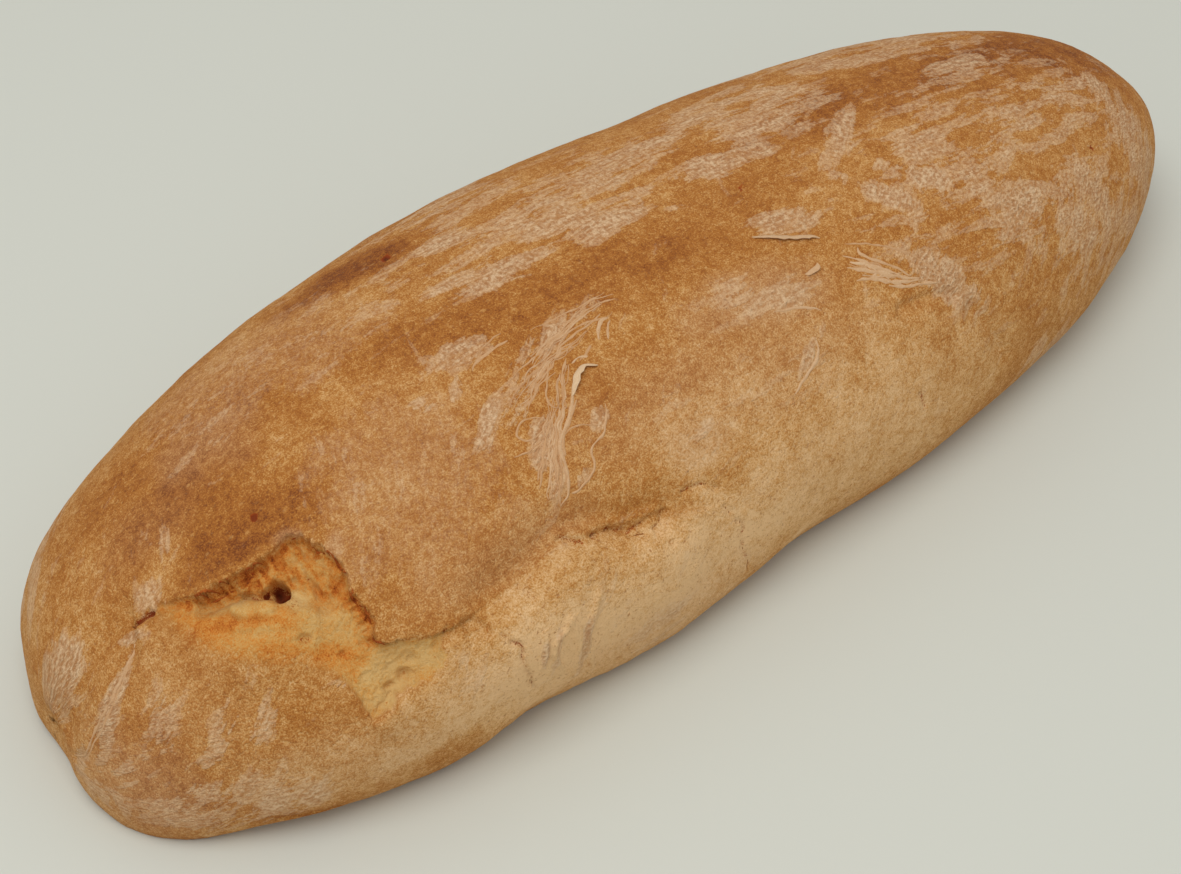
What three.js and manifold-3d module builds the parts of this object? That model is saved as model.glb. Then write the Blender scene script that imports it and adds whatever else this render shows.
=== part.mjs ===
// A long unsalted loaf whose front side has burst in the oven, lying on its flat base.
// Millimetres. X runs along the loaf, the burst side faces -Y, Z is up, the base lies on z = 0.
// A place on the crust is [x, degrees]: 0 degrees is the front waist, 90 the crown, 180 the back.

import * as THREE from 'three';
import Module from 'manifold-3d';

// Driving sizes of the bare loaf
const LENGTH = 420;
const HEIGHT = 84;
const FRONT_HALF_WIDTH = 75;
const BACK_HALF_WIDTH = 74;
const FRONT_TAPER = -0.085;
const BACK_TAPER = 0.08;
const HEIGHT_TAPER = -0.1;
const WAIST_HEIGHT = 26;
const NEAR_WAIST_DROP = 14;
const BELLY_DEPTH = 50;
const SECTION_POWER = 2.25;
const NEAR_PLAN_POWER = 5;
const FAR_PLAN_POWER = 2.05;
const NEAR_RISE_POWER = 2.1;
const FAR_RISE_POWER = 3.3;

// Swells and hollows of the whole shape: place, height, radius along and radius across
const SWELLS = [
  { name: 'near foot lump', at: [-200, -30], height: 5, along: 22, across: 24 },
  { name: 'near front foot', at: [-181, -20], height: 2.5, along: 26, across: 24 },
  { name: 'near back shoulder', at: [-158, 148], height: -3.5, along: 45, across: 30 },
  { name: 'back bulge', at: [-34, 142], height: 3, along: 50, across: 30 },
  { name: 'foot hollow beside the crack', at: [-97, -22], height: -2.5, along: 18, across: 18 },
  { name: 'skirt foot', at: [-55, -20], height: 1.5, along: 24, across: 22 },
  { name: 'tucked foot past the skirt', at: [4, -20], height: -2.5, along: 22, across: 22 },
  { name: 'smooth dome at the far front', at: [112, -8], height: 2, along: 50, across: 26 },
  { name: 'far end slope', at: [202, 80], height: -3, along: 26, across: 26 },
  { name: 'near end back', at: [-207, 150], height: -2, along: 20, across: 16 },
  { name: 'near end notch', at: [-209.9, 0], height: -3.5, along: 10, across: 9 },
  { name: 'brow over the burst', at: [-143, 80], height: 1.5, along: 26, across: 16 },
  { name: 'crumb mound in the burst', at: [-159, 53], height: 5, along: 19, across: 10 },
  { name: 'torn floor of the burst', at: [-146, 44], height: -1.5, along: 9, across: 10 },
  { name: 'lower flap of the burst', at: [-127, 14], height: 2, along: 18, across: 14 },
];

// The torn edge of the crust along the front, and the lower edge of the crumb that it bares
const SPLIT = [
  [-184, 76], [-174, 72], [-157, 70], [-141, 66], [-138.5, 53], [-139, 38], [-129, 33],
  [-117, 30], [-99, 31], [-84, 34], [-76, 31], [-66, 26], [-54, 23],
];
const CRUMB_EDGE = [
  [-184, 76], [-181, 65], [-177, 54], [-168, 46], [-158, 38], [-148, 18], [-137, 22],
  [-128, 23], [-124, 28], [-113, 26],
];
const SPLIT_STEP = 1.6;
const LIP_RISE = 1.8;
const LIP_WIDTH = 7;
const CRUMB_DROP = 2.2;
const CRUMB_SOFT_NEAR = 14;
const CRUMB_SOFT_FAR = 3;
const CRUMB_SOFT_FROM = -156;
const CRUMB_SOFT_TO = -146;
const SKIRT_FROM = -124;
const SKIRT_FULL = -106;
const SKIRT_FADE = -60;
const SKIRT_TO = -34;
const SKIRT_RISE = 3;
const SKIRT_OFFSET = -13;
const SKIRT_WIDTH = 14;
const VALLEY_DEPTH = 2.6;
const VALLEY_OFFSET = 2;
const VALLEY_WIDTH = 8;

// Creases and cracks: path over the crust, depth and half width
const CREASES = [
  { name: 'fold under the brow', path: [[-177, 69], [-165, 65], [-155, 61], [-147, 56], [-142, 46]],
    depth: 5, width: 4.5 },
  { name: 'near end crease', path: [[-209, 57], [-203, 72], [-197, 78], [-190, 78.5], [-184, 76]],
    depth: 2.4, width: 7 },
  { name: 'near end scar', path: [[-187, 71], [-196, 61], [-203, 45], [-209, 9]],
    depth: 0.9, width: 3 },
  { name: 'crack beside the flap', path: [[-113, 26], [-110, 22], [-107, 11], [-105, 0]],
    depth: 1.6, width: 3 },
  { name: 'crack above the skirt', path: [[-47, 28], [-41, 27.5], [-36, 24]], depth: 1.4, width: 3 },
  { name: 'crack down the skirt', path: [[-36, 22], [-33, 12], [-31, 3], [-28, -9]],
    depth: 1.4, width: 3.4 },
  { name: 'edge of the far dome', path: [[36, 41], [48, 42], [58, 39], [73, 19], [80, 0]],
    depth: 1.2, width: 4 },
];

// Blow hole in the fold: place, diameter and depth
const BLOW_HOLE = { at: [-154.5, 60.5], diameter: 5, depth: 9, segments: 14 };

// Lifted flakes of skin: place, turn in the crust, length, width and how far they stand up
const FLAKES = [
  { name: 'curled skin over the web', at: [-58, 65], turn: 70, length: 9, width: 3, stand: 1.5 },
  { name: 'edge of the web film', at: [-68, 49], turn: 55, length: 24, width: 3, stand: 0.9 },
  { name: 'long flap on the crown', at: [23, 72], turn: -20, length: 19, width: 3.4, stand: 1.3 },
  { name: 'short flap on the crown', at: [21, 62.5], turn: 40, length: 7, width: 3, stand: 1.1 },
  { name: 'small ridge', at: [2, 47], turn: 80, length: 26, width: 4, stand: 1 },
];
const FLAKE_SEGMENTS = 12;
const FLAKE_RINGS = 6;

// Spacing of the faces: finer over the burst than elsewhere
const STATIONS = 92;
const RING_POINTS = 56;
const BURST_STATION_WEIGHT = 3;
const BURST_RING_WEIGHT = 4.5;
const BURST_REACH = [-192, -46];
const BURST_GIRTH = [-4, 80];
const PATH_STEPS = 60;
const NORMAL_STEP = 1e-3;
const TIP = 0.9995;

const CRUST_COLOUR = 0xb9803f;
const CRUST_ROUGHNESS = 0.85;

const { clamp, degToRad, lerp, smoothstep } = THREE.MathUtils;

// Point of the bare loaf at t along it (-1 near end, 1 far end) and an angle round it
function barePoint(t, angle) {
  const reach = Math.abs(t);
  const near = t < 0;
  const plan = Math.sqrt(1 - reach ** (near ? NEAR_PLAN_POWER : FAR_PLAN_POWER));
  const rise = Math.sqrt(1 - reach ** (near ? NEAR_RISE_POWER : FAR_RISE_POWER));
  const cos = Math.cos(angle);
  const sin = Math.sin(angle);
  const front = -FRONT_HALF_WIDTH * (1 + FRONT_TAPER * t);
  const back = BACK_HALF_WIDTH * (1 + BACK_TAPER * t);
  const y = (cos > 0 ? front : back) * plan * Math.abs(cos) ** (2 / SECTION_POWER);
  const waist = WAIST_HEIGHT - (near ? NEAR_WAIST_DROP * reach ** 3 : 0);
  const crown = (HEIGHT * (1 + HEIGHT_TAPER * t) - waist) * rise;
  const lift = (sin > 0 ? crown : -BELLY_DEPTH * plan) * Math.abs(sin) ** (2 / SECTION_POWER);
  return new THREE.Vector3((LENGTH / 2) * t, y, waist + lift);
}

// Outward direction of the bare loaf
function bareNormal(t, angle) {
  const ahead = barePoint(clamp(t + NORMAL_STEP, -TIP, TIP), angle);
  const behind = barePoint(clamp(t - NORMAL_STEP, -TIP, TIP), angle);
  const above = barePoint(t, angle + NORMAL_STEP);
  const below = barePoint(t, angle - NORMAL_STEP);
  return ahead.sub(behind).cross(above.sub(below)).normalize();
}

const placeT = ([x]) => x / (LENGTH / 2);
const placeAngle = ([, degrees]) => degToRad(degrees);
const placePoint = (place) => barePoint(placeT(place), placeAngle(place));

// Smooth path over the bare loaf through hand-set places
function crustPath(places) {
  const curve = new THREE.SplineCurve(places.map(([x, degrees]) => new THREE.Vector2(x, degrees)));
  return curve.getPoints(PATH_STEPS).map((place) => placePoint(place.toArray()));
}

// Distance from a point to a path: positive on the upper side, with the share of the path passed
function pathDistance(path, point, normal) {
  let best = { distance: Infinity, side: 1, share: 0 };
  for (let i = 0; i < path.length - 1; i += 1) {
    const run = path[i + 1].clone().sub(path[i]);
    const offset = point.clone().sub(path[i]);
    const along = clamp(offset.dot(run) / run.lengthSq(), 0, 1);
    const distance = offset.clone().addScaledVector(run, -along).length();
    if (distance < best.distance) {
      const side = normal.clone().cross(run).dot(offset) >= 0 ? 1 : -1;
      best = { distance, side, share: (i + along) / (path.length - 1) };
    }
  }
  return { signed: best.side * best.distance, distance: best.distance, share: best.share };
}

const bell = (offset, width) => Math.exp(-((offset / width) ** 2));
const fadeEnds = (share) => smoothstep(share, 0, 0.08) * (1 - smoothstep(share, 0.92, 1));

// Height of one swell or hollow at a point of the bare loaf
function swellHeight(swell, point) {
  const across = Math.hypot(point.y - swell.centre.y, point.z - swell.centre.z);
  return swell.height * bell(point.x - swell.centre.x, swell.along) * bell(across, swell.across);
}

// Depth of one crease at a point of the bare loaf
function creaseHeight(crease, point, normal) {
  const { distance, share } = pathDistance(crease.line, point, normal);
  return -crease.depth * bell(distance, crease.width) * fadeEnds(share);
}

// Relief along the split: raised lip above it, bared crumb below it, then a valley and a skirt
function splitHeight(split, crumbEdge, point, normal) {
  const edge = pathDistance(split, point, normal);
  const lower = pathDistance(crumbEdge, point, normal);
  const above = smoothstep(edge.signed, -SPLIT_STEP, SPLIT_STEP);
  const soft = lerp(CRUMB_SOFT_NEAR, CRUMB_SOFT_FAR,
    smoothstep(point.x, CRUMB_SOFT_FROM, CRUMB_SOFT_TO));
  const crumb = (1 - above) * smoothstep(lower.signed, 0, soft);
  const lip = above * bell(edge.signed, LIP_WIDTH) * fadeEnds(edge.share);
  const skirtShare = smoothstep(point.x, SKIRT_FROM, SKIRT_FULL)
    * (1 - smoothstep(point.x, SKIRT_FADE, SKIRT_TO));
  const skirt = SKIRT_RISE * bell(edge.signed - SKIRT_OFFSET, SKIRT_WIDTH);
  const valley = VALLEY_DEPTH * bell(edge.signed - VALLEY_OFFSET, VALLEY_WIDTH);
  return LIP_RISE * lip * (1 - skirtShare) - CRUMB_DROP * crumb + (skirt - valley) * skirtShare;
}

const swells = SWELLS.map((swell) => ({ ...swell, centre: placePoint(swell.at) }));
const creases = CREASES.map((crease) => ({ ...crease, line: crustPath(crease.path) }));
const splitLine = crustPath(SPLIT);
const crumbLine = crustPath(CRUMB_EDGE);

// Point of the finished crust, with the base pressed flat
function crustPoint(t, angle) {
  const point = barePoint(t, angle);
  const normal = bareNormal(t, angle);
  let height = splitHeight(splitLine, crumbLine, point, normal);
  for (const swell of swells) height += swellHeight(swell, point);
  for (const crease of creases) height += creaseHeight(crease, point, normal);
  point.addScaledVector(normal, height);
  point.z = Math.max(point.z, 0);
  return point;
}

// Values from start to end whose spacing shrinks by a weight inside a span
function spacedValues(start, end, count, span, weight) {
  const [low, high] = span;
  const total = end - start + (weight - 1) * (high - low);
  return Array.from({ length: count + 1 }, (_, i) => {
    const run = (total * i) / count;
    const before = low - start;
    const inside = weight * (high - low);
    if (run < before) return start + run;
    if (run < before + inside) return low + (run - before) / weight;
    return high + (run - before - inside);
  });
}

// Closed crust: rings of points between the two tips
function crustGeometry() {
  const turnAt = (x) => Math.acos(-x / (LENGTH / 2));
  const turns = spacedValues(0, Math.PI, STATIONS, BURST_REACH.map(turnAt), BURST_STATION_WEIGHT);
  const girths = spacedValues(-90, 270, RING_POINTS, BURST_GIRTH, BURST_RING_WEIGHT);
  const positions = [...crustPoint(-TIP, 0).setY(0).toArray()];
  for (const turn of turns.slice(1, -1)) {
    for (const girth of girths.slice(0, -1)) {
      positions.push(...crustPoint(-Math.cos(turn), degToRad(girth)).toArray());
    }
  }
  const last = positions.length / 3;
  positions.push(...crustPoint(TIP, 0).setY(0).toArray());
  const at = (ring, k) => 1 + ring * RING_POINTS + (k % RING_POINTS);
  const faces = [];
  for (let k = 0; k < RING_POINTS; k += 1) {
    faces.push(0, at(0, k), at(0, k + 1));
    for (let ring = 0; ring < STATIONS - 2; ring += 1) {
      faces.push(at(ring, k), at(ring + 1, k), at(ring + 1, k + 1));
      faces.push(at(ring, k), at(ring + 1, k + 1), at(ring, k + 1));
    }
    faces.push(at(STATIONS - 2, k), last, at(STATIONS - 2, k + 1));
  }
  const geometry = new THREE.BufferGeometry();
  geometry.setAttribute('position', new THREE.Float32BufferAttribute(positions, 3));
  geometry.setIndex(faces);
  return geometry;
}

// Closed ellipsoid with single points at its poles
function pebbleGeometry(segments, rings) {
  const positions = [0, 0, 1];
  for (let ring = 1; ring < rings; ring += 1) {
    const fall = (Math.PI * ring) / rings;
    for (let k = 0; k < segments; k += 1) {
      const turn = (2 * Math.PI * k) / segments;
      positions.push(Math.sin(fall) * Math.cos(turn), Math.sin(fall) * Math.sin(turn), Math.cos(fall));
    }
  }
  const last = positions.length / 3;
  positions.push(0, 0, -1);
  const at = (ring, k) => 1 + ring * segments + (k % segments);
  const faces = [];
  for (let k = 0; k < segments; k += 1) {
    faces.push(0, at(0, k), at(0, k + 1));
    for (let ring = 0; ring < rings - 2; ring += 1) {
      faces.push(at(ring, k), at(ring + 1, k), at(ring + 1, k + 1));
      faces.push(at(ring, k), at(ring + 1, k + 1), at(ring, k + 1));
    }
    faces.push(at(rings - 2, k), last, at(rings - 2, k + 1));
  }
  const geometry = new THREE.BufferGeometry();
  geometry.setAttribute('position', new THREE.Float32BufferAttribute(positions, 3));
  geometry.setIndex(faces);
  return geometry;
}

// Placement on the crust: local X along the loaf turned by an angle, local Z outward
function crustFrame(place, turn, scale) {
  const t = placeT(place);
  const angle = placeAngle(place);
  const out = bareNormal(t, angle);
  const along = new THREE.Vector3(1, 0, 0);
  along.addScaledVector(out, -along.dot(out)).normalize().applyAxisAngle(out, degToRad(turn));
  const across = out.clone().cross(along);
  const frame = new THREE.Matrix4().makeBasis(along, across, out);
  frame.setPosition(crustPoint(t, angle));
  return frame.scale(scale);
}

// Blow hole as a long pebble standing in the crust
function blowHoleGeometry() {
  const radius = BLOW_HOLE.diameter / 2;
  const scale = new THREE.Vector3(radius, radius, BLOW_HOLE.depth);
  const pebble = pebbleGeometry(BLOW_HOLE.segments, BLOW_HOLE.segments);
  return pebble.applyMatrix4(crustFrame(BLOW_HOLE.at, 0, scale));
}

// Lifted flake as a flat pebble half sunk in the crust
function flakeGeometry(flake) {
  const scale = new THREE.Vector3(flake.length / 2, flake.width / 2, flake.stand);
  const pebble = pebbleGeometry(FLAKE_SEGMENTS, FLAKE_RINGS);
  return pebble.applyMatrix4(crustFrame(flake.at, flake.turn, scale));
}

const wasm = await Module();
wasm.setup();

// Solid of a closed indexed geometry
function solidOf(geometry) {
  const vertProperties = new Float32Array(geometry.attributes.position.array);
  const triVerts = new Uint32Array(geometry.index.array);
  return new wasm.Manifold(new wasm.Mesh({ numProp: 3, vertProperties, triVerts }));
}

// Geometry of a solid, centred over its base
function geometryOf(solid) {
  const { vertProperties, triVerts } = solid.getMesh();
  const geometry = new THREE.BufferGeometry();
  geometry.setAttribute('position', new THREE.Float32BufferAttribute(vertProperties, 3));
  geometry.setIndex([...triVerts]);
  geometry.computeBoundingBox();
  const centre = geometry.boundingBox.getCenter(new THREE.Vector3());
  geometry.translate(-centre.x, -centre.y, -geometry.boundingBox.min.z);
  geometry.computeVertexNormals();
  return geometry;
}

// The loaf: crust with its flakes fused on and its blow hole opened
function buildLoaf() {
  let solid = solidOf(crustGeometry());
  for (const flake of FLAKES) solid = solid.add(solidOf(flakeGeometry(flake)));
  solid = solid.subtract(solidOf(blowHoleGeometry()));
  const material = new THREE.MeshStandardMaterial({
    color: CRUST_COLOUR, roughness: CRUST_ROUGHNESS, metalness: 0,
  });
  const loaf = new THREE.Mesh(geometryOf(solid), material);
  loaf.name = 'loaf';
  return loaf;
}

const bread = new THREE.Group();
bread.add(buildLoaf());

export default bread;
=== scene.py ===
"""Dresses the unsalted loaf: a fine crust with its burst, stretched skin, flakes and flour."""
import logging
import math
from dataclasses import dataclass, field
from enum import Enum
from itertools import product
from typing import Sequence

import bpy
import numpy as np
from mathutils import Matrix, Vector


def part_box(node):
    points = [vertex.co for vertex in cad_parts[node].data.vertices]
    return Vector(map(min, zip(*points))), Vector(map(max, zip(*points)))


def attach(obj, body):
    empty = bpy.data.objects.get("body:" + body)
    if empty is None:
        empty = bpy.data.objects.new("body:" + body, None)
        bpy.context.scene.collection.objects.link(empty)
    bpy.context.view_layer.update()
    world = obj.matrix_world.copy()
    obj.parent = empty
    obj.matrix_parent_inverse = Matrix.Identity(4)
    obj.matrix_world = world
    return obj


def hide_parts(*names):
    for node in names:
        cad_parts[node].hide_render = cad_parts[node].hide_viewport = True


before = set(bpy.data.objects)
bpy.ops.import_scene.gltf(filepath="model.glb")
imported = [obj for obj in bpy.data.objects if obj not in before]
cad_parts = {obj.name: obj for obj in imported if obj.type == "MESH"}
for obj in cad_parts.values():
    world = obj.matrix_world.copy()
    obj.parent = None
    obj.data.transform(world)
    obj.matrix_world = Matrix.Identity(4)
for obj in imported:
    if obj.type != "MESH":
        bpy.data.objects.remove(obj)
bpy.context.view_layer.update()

LOG = logging.getLogger("loaf")
MM = 0.001
FAR_AWAY = 1000.0
END_SHARE = 0.08
NOISE_MEAN = 0.5
SPREAD_SAMPLES = 4001
SPREAD_MARGIN = 0.03

Array = np.ndarray
Place = tuple[float, float]
# Low and high end
Span = tuple[float, float]
# Size and weight of each noise that is added up
Layers = tuple[tuple[float, float], ...]
Colour = tuple[float, float, float, float]
Stops = tuple[tuple[float, Colour], ...]
Triple = tuple[float, float, float]
# Lumps to the metre, number of finer layers and their strength
NoiseSize = tuple[float, float, float]
Socket = bpy.types.NodeSocket


def smooth(value: Array, low: float, high: float) -> Array:
    """Rise gently from 0 where a value is low to 1 where it is high."""
    share = np.clip((value - low) / (high - low), 0.0, 1.0)
    return share * share * (3.0 - 2.0 * share)


def bell(offset: Array, width: float) -> Array:
    """Bump of height 1 that falls to 1/e at a width."""
    return np.exp(-((offset / width) ** 2))


def ridge(edge: Array, line: Span) -> Array:
    """Bump that follows an edge, from its offset and its width."""
    return bell(edge - line[0], line[1])


def fade_ends(share: Array) -> Array:
    """Fade to nothing at both ends of a path."""
    return smooth(share, 0.0, END_SHARE) * (1.0 - smooth(share, 1.0 - END_SHARE, 1.0))


def linear(red: int, green: int, blue: int) -> Colour:
    """Turn a screen colour of 0 to 255 into the linear colour, with full alpha, that shaders take."""
    parts = (c / 255.0 for c in (red, green, blue))
    return (*(p / 12.92 if p <= 0.04045 else ((p + 0.055) / 1.055) ** 2.4 for p in parts), 1.0)


@dataclass
class GradientNoise:
    """Seeded smooth noise in space, from about -1 to 1."""

    seed: int = 11
    strength: float = 1.6
    table: Array = field(init=False)
    slopes: Array = field(init=False)

    def __post_init__(self) -> None:
        """Draw the shuffled table and the slope of each entry."""
        draw = np.random.default_rng(self.seed)
        self.table = draw.permutation(256)
        slopes = draw.normal(size=(256, 3))
        self.slopes = slopes / np.linalg.norm(slopes, axis=1, keepdims=True)

    def at(self, points: Array, size: float | Sequence[float]) -> Array:
        """Read the noise.

        Args:
            points: Places to read, one per row.
            size: Width of the lumps, one for all or one for each axis.

        Returns:
            One value for each place.
        """
        scaled = points / np.asarray(size, float)
        cell = np.floor(scaled).astype(int)
        local = scaled - cell
        ease = local ** 3 * (local * (local * 6.0 - 15.0) + 10.0)
        total = np.zeros(len(points))
        for corner in product((0, 1), repeat=3):
            key = np.zeros(len(points), int)
            weight = np.ones(len(points))
            for axis, step in enumerate(corner):
                key = self.table[(key + cell[:, axis] + step) & 255]
                weight = weight * (ease[:, axis] if step else 1.0 - ease[:, axis])
            total += weight * ((local - np.array(corner)) * self.slopes[key]).sum(1)
        return total * self.strength

    def layers(self, points: Array, layers: Layers) -> Array:
        """Add up noise of several sizes, each with its weight."""
        return sum(weight * self.at(points, size) for size, weight in layers)


@dataclass(frozen=True)
class BareLoaf:
    """Plain form of the loaf before swells, tears and skin, in millimetres."""

    length: float = 420.0
    height: float = 84.0
    front_half_width: float = 75.0
    back_half_width: float = 74.0
    front_taper: float = -0.085
    back_taper: float = 0.08
    height_taper: float = -0.1
    waist_height: float = 26.0
    near_waist_drop: float = 14.0
    belly_depth: float = 50.0
    section_power: float = 2.25
    near_plan_power: float = 5.0
    far_plan_power: float = 2.05
    near_rise_power: float = 2.1
    far_rise_power: float = 3.3
    tip: float = 0.9995
    normal_step: float = 1e-3

    def point(self, t: Array, angle: Array) -> Array:
        """Find points of the bare loaf.

        Args:
            t: Place along, -1 at the near end and 1 at the far end.
            angle: Angle round in radians, 0 at the front waist and a quarter turn at the crown.

        Returns:
            Points, one per row.
        """
        reach = np.abs(t)
        near = t < 0
        plan = np.sqrt(1 - reach ** np.where(near, self.near_plan_power, self.far_plan_power))
        rise = np.sqrt(1 - reach ** np.where(near, self.near_rise_power, self.far_rise_power))
        cos, sin = np.cos(angle), np.sin(angle)
        front = -self.front_half_width * (1 + self.front_taper * t)
        back = self.back_half_width * (1 + self.back_taper * t)
        power = 2 / self.section_power
        y = np.where(cos > 0, front, back) * plan * np.abs(cos) ** power
        waist = self.waist_height - np.where(near, self.near_waist_drop * reach ** 3, 0.0)
        crown = (self.height * (1 + self.height_taper * t) - waist) * rise
        z = waist + np.where(sin > 0, crown, -self.belly_depth * plan) * np.abs(sin) ** power
        return np.stack(np.broadcast_arrays(self.length / 2 * t, y, z), -1)

    def normal(self, t: Array, angle: Array) -> Array:
        """Find the outward directions of the bare loaf.

        Args:
            t: Place along.
            angle: Angle round in radians.

        Returns:
            Unit directions, one per row.
        """
        step = self.normal_step
        ahead = self.point(np.clip(t + step, -self.tip, self.tip), angle)
        behind = self.point(np.clip(t - step, -self.tip, self.tip), angle)
        turn = self.point(t, angle + step) - self.point(t, angle - step)
        out = np.cross(ahead - behind, turn)
        return out / np.maximum(np.linalg.norm(out, axis=-1, keepdims=True), 1e-9)

    def parameters(self, places: Array) -> tuple[Array, Array]:
        """Turn places of x and degrees into t and radians."""
        return places[..., 0] / (self.length / 2), np.radians(places[..., 1])

    def at_place(self, place: Place) -> Array:
        """Find the point of the bare loaf at one place."""
        return self.point(*self.parameters(np.array(place, float)))

    def tangents(self, place: Place, turn: float) -> tuple[Array, Array, Array]:
        """Find the directions in the crust at a place.

        Args:
            place: x and degrees round.
            turn: Degrees that the first direction is turned from the loaf's length.

        Returns:
            Directions along, across and outward.
        """
        out = self.normal(*self.parameters(np.array(place, float)))
        along = np.array((1.0, 0.0, 0.0))
        along = along - out * along.dot(out)
        along /= np.linalg.norm(along)
        across = np.cross(out, along)
        cos, sin = math.cos(math.radians(turn)), math.sin(math.radians(turn))
        return along * cos + across * sin, across * cos - along * sin, out


@dataclass(frozen=True)
class CrustPath:
    """Smooth line over the bare loaf through listed places."""

    places: tuple[Place, ...]
    steps: int = 60

    def spread(self, steps: int | None = None) -> Array:
        """Find evenly spread places of the line.

        Args:
            steps: Number of steps, or none for the line's own.

        Returns:
            Places of x and degrees, one per row.
        """
        knots = np.array(self.places, float)
        padded = np.vstack((knots[:1], knots, knots[-1:]))
        run = np.linspace(0, len(knots) - 1, (steps or self.steps) + 1)
        index = np.minimum(run.astype(int), len(knots) - 2)
        w = (run - index)[:, None]
        before, start, end, after = (padded[index + k] for k in range(4))
        leave, arrive = (end - before) / 2, (after - start) / 2
        cubic = (2 * start - 2 * end + leave + arrive) * w ** 3
        return cubic + (3 * end - 3 * start - 2 * leave - arrive) * w ** 2 + leave * w + start

    def nearest(self, loaf: BareLoaf, points: Array, normals: Array,
                reach: float) -> tuple[Array, Array]:
        """Measure how far points lie from the line.

        Args:
            loaf: The bare loaf that carries the line.
            points: Points of the bare loaf.
            normals: Outward directions there.
            reach: Points further away than this aren't measured.

        Returns:
            Signed distance, positive above the line, and the share of the line passed.
        """
        line = loaf.point(*loaf.parameters(self.spread()))
        low, high = line.min(0) - reach, line.max(0) + reach
        near = np.flatnonzero(((points > low) & (points < high)).all(1))
        spot, out = points[near], normals[near]
        best = np.full(len(near), FAR_AWAY)
        side = np.ones(len(near))
        passed = np.zeros(len(near))
        for i, (start, end) in enumerate(zip(line[:-1], line[1:])):
            run = end - start
            offset = spot - start
            along = np.clip(offset @ run / run.dot(run), 0, 1)
            distance = np.linalg.norm(offset - along[:, None] * run, axis=1)
            closer = distance < best
            best = np.where(closer, distance, best)
            facing = np.where((np.cross(out, run) * offset).sum(1) >= 0, 1.0, -1.0)
            side = np.where(closer, facing, side)
            passed = np.where(closer, (i + along) / self.steps, passed)
        signed = np.full(len(points), FAR_AWAY)
        share = np.zeros(len(points))
        signed[near] = side * best
        share[near] = passed
        return signed, share


@dataclass(frozen=True)
class Swell:
    """Broad swell or hollow of the loaf."""

    name: str
    at: Place
    height: float
    along: float
    across: float

    def relief(self, loaf: BareLoaf, points: Array) -> Array:
        """Height of the swell at points of the bare loaf."""
        offset = points - loaf.at_place(self.at)
        side = np.hypot(offset[:, 1], offset[:, 2])
        return self.height * bell(offset[:, 0], self.along) * bell(side, self.across)


@dataclass(frozen=True)
class Crease:
    """Groove or crack along a path, with a ragged course and perhaps a dark bottom of painted shade,
    browned where the crust is torn.
    """

    name: str
    depth: float
    width: float
    ragged: float
    places: tuple[Place, ...]
    lower_width: float = 0.0
    # Painted shade along the crease's bottom, browned where the crust is torn
    dark: float = 0.0
    broken: float = 0.0
    reach: float = 4.0
    gap: float = 0.85
    gap_beat: Span = (-0.1, 0.35)
    shade_spread: float = 1.2

    def relief(self, loaf: BareLoaf, points: Array, normals: Array, jitter: Array,
               beat: Array) -> tuple[Array, Array]:
        """Depth and darkness of the crease at points of the bare loaf.

        Args:
            loaf: The bare loaf.
            points: Points of the bare loaf.
            normals: Outward directions there.
            jitter: Noise that makes the course ragged.
            beat: Noise that breaks the course into pieces.

        Returns:
            Heights, all negative or zero, and darkness from 0 to 1: painted shade, browned where the crust
            is torn.
        """
        reach = self.reach * (self.width + 1.0)
        signed, share = CrustPath(self.places).nearest(loaf, points, normals, reach)
        signed = signed + self.ragged * jitter
        width = np.where(signed < 0, self.lower_width or self.width, self.width)
        shape = bell(signed, width) * fade_ends(share)
        gaps = 1.0 - self.gap * self.broken * smooth(beat, *self.gap_beat)
        shade = self.dark * bell(signed, self.shade_spread * self.width) * fade_ends(share) * gaps
        return -self.depth * shape * gaps, shade


@dataclass(frozen=True)
class Pit:
    """Small hole in the crust or crumb, darkened with painted shade."""

    name: str
    at: Place
    radius: float
    depth: float
    # Painted shade inside the pit
    dark: float
    fray: float = 0.9
    floor: float = 0.2
    rim: float = 1.3

    def relief(self, loaf: BareLoaf, points: Array, jitter: Array) -> tuple[Array, Array]:
        """Depth and darkness of the pit at points of the bare loaf.

        Args:
            loaf: The bare loaf.
            points: Points of the bare loaf.
            jitter: Noise that frays the rim.

        Returns:
            Heights, all negative or zero, and painted shade from 0 to 1.
        """
        offset = np.linalg.norm(points - loaf.at_place(self.at), axis=1) + self.fray * jitter
        shape = 1.0 - smooth(offset, self.floor * self.radius, self.rim * self.radius)
        return -self.depth * shape, self.dark * shape


SWELLS = (
    Swell("near foot lump", (-200, -30), 5, 22, 24),
    Swell("near front foot", (-181, -20), 1.5, 26, 24),
    Swell("undercut of the near front foot", (-164, -38), -5, 30, 15),
    Swell("near back shoulder", (-158, 148), -3.5, 45, 30),
    Swell("back bulge", (-34, 142), 3, 50, 30),
    Swell("foot hollow beside the crack", (-97, -22), -2.5, 18, 18),
    Swell("skirt foot", (-55, -20), 1.5, 24, 22),
    Swell("tucked foot past the skirt", (4, -20), -2.5, 22, 22),
    Swell("smooth dome at the far front", (112, -8), 2, 50, 26),
    Swell("far end slope", (202, 80), -3, 26, 26),
    Swell("near end back", (-207, 150), -2, 20, 16),
    Swell("near end notch", (-209.9, 0), -3.5, 10, 9),
    Swell("brow over the burst", (-143, 80), 1.5, 26, 16),
    Swell("crumb mound in the burst", (-159, 53), 5, 19, 10),
    Swell("torn floor of the burst", (-146, 44), -1.5, 9, 10),
    Swell("low torn floor", (-136, 26), -2.8, 9, 6),
    Swell("lower flap of the burst", (-127, 14), 2, 18, 14),
)

# A crease's dark is painted shade along its groove; on cracks and slits it also holds the brown of the
# torn crust
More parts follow.
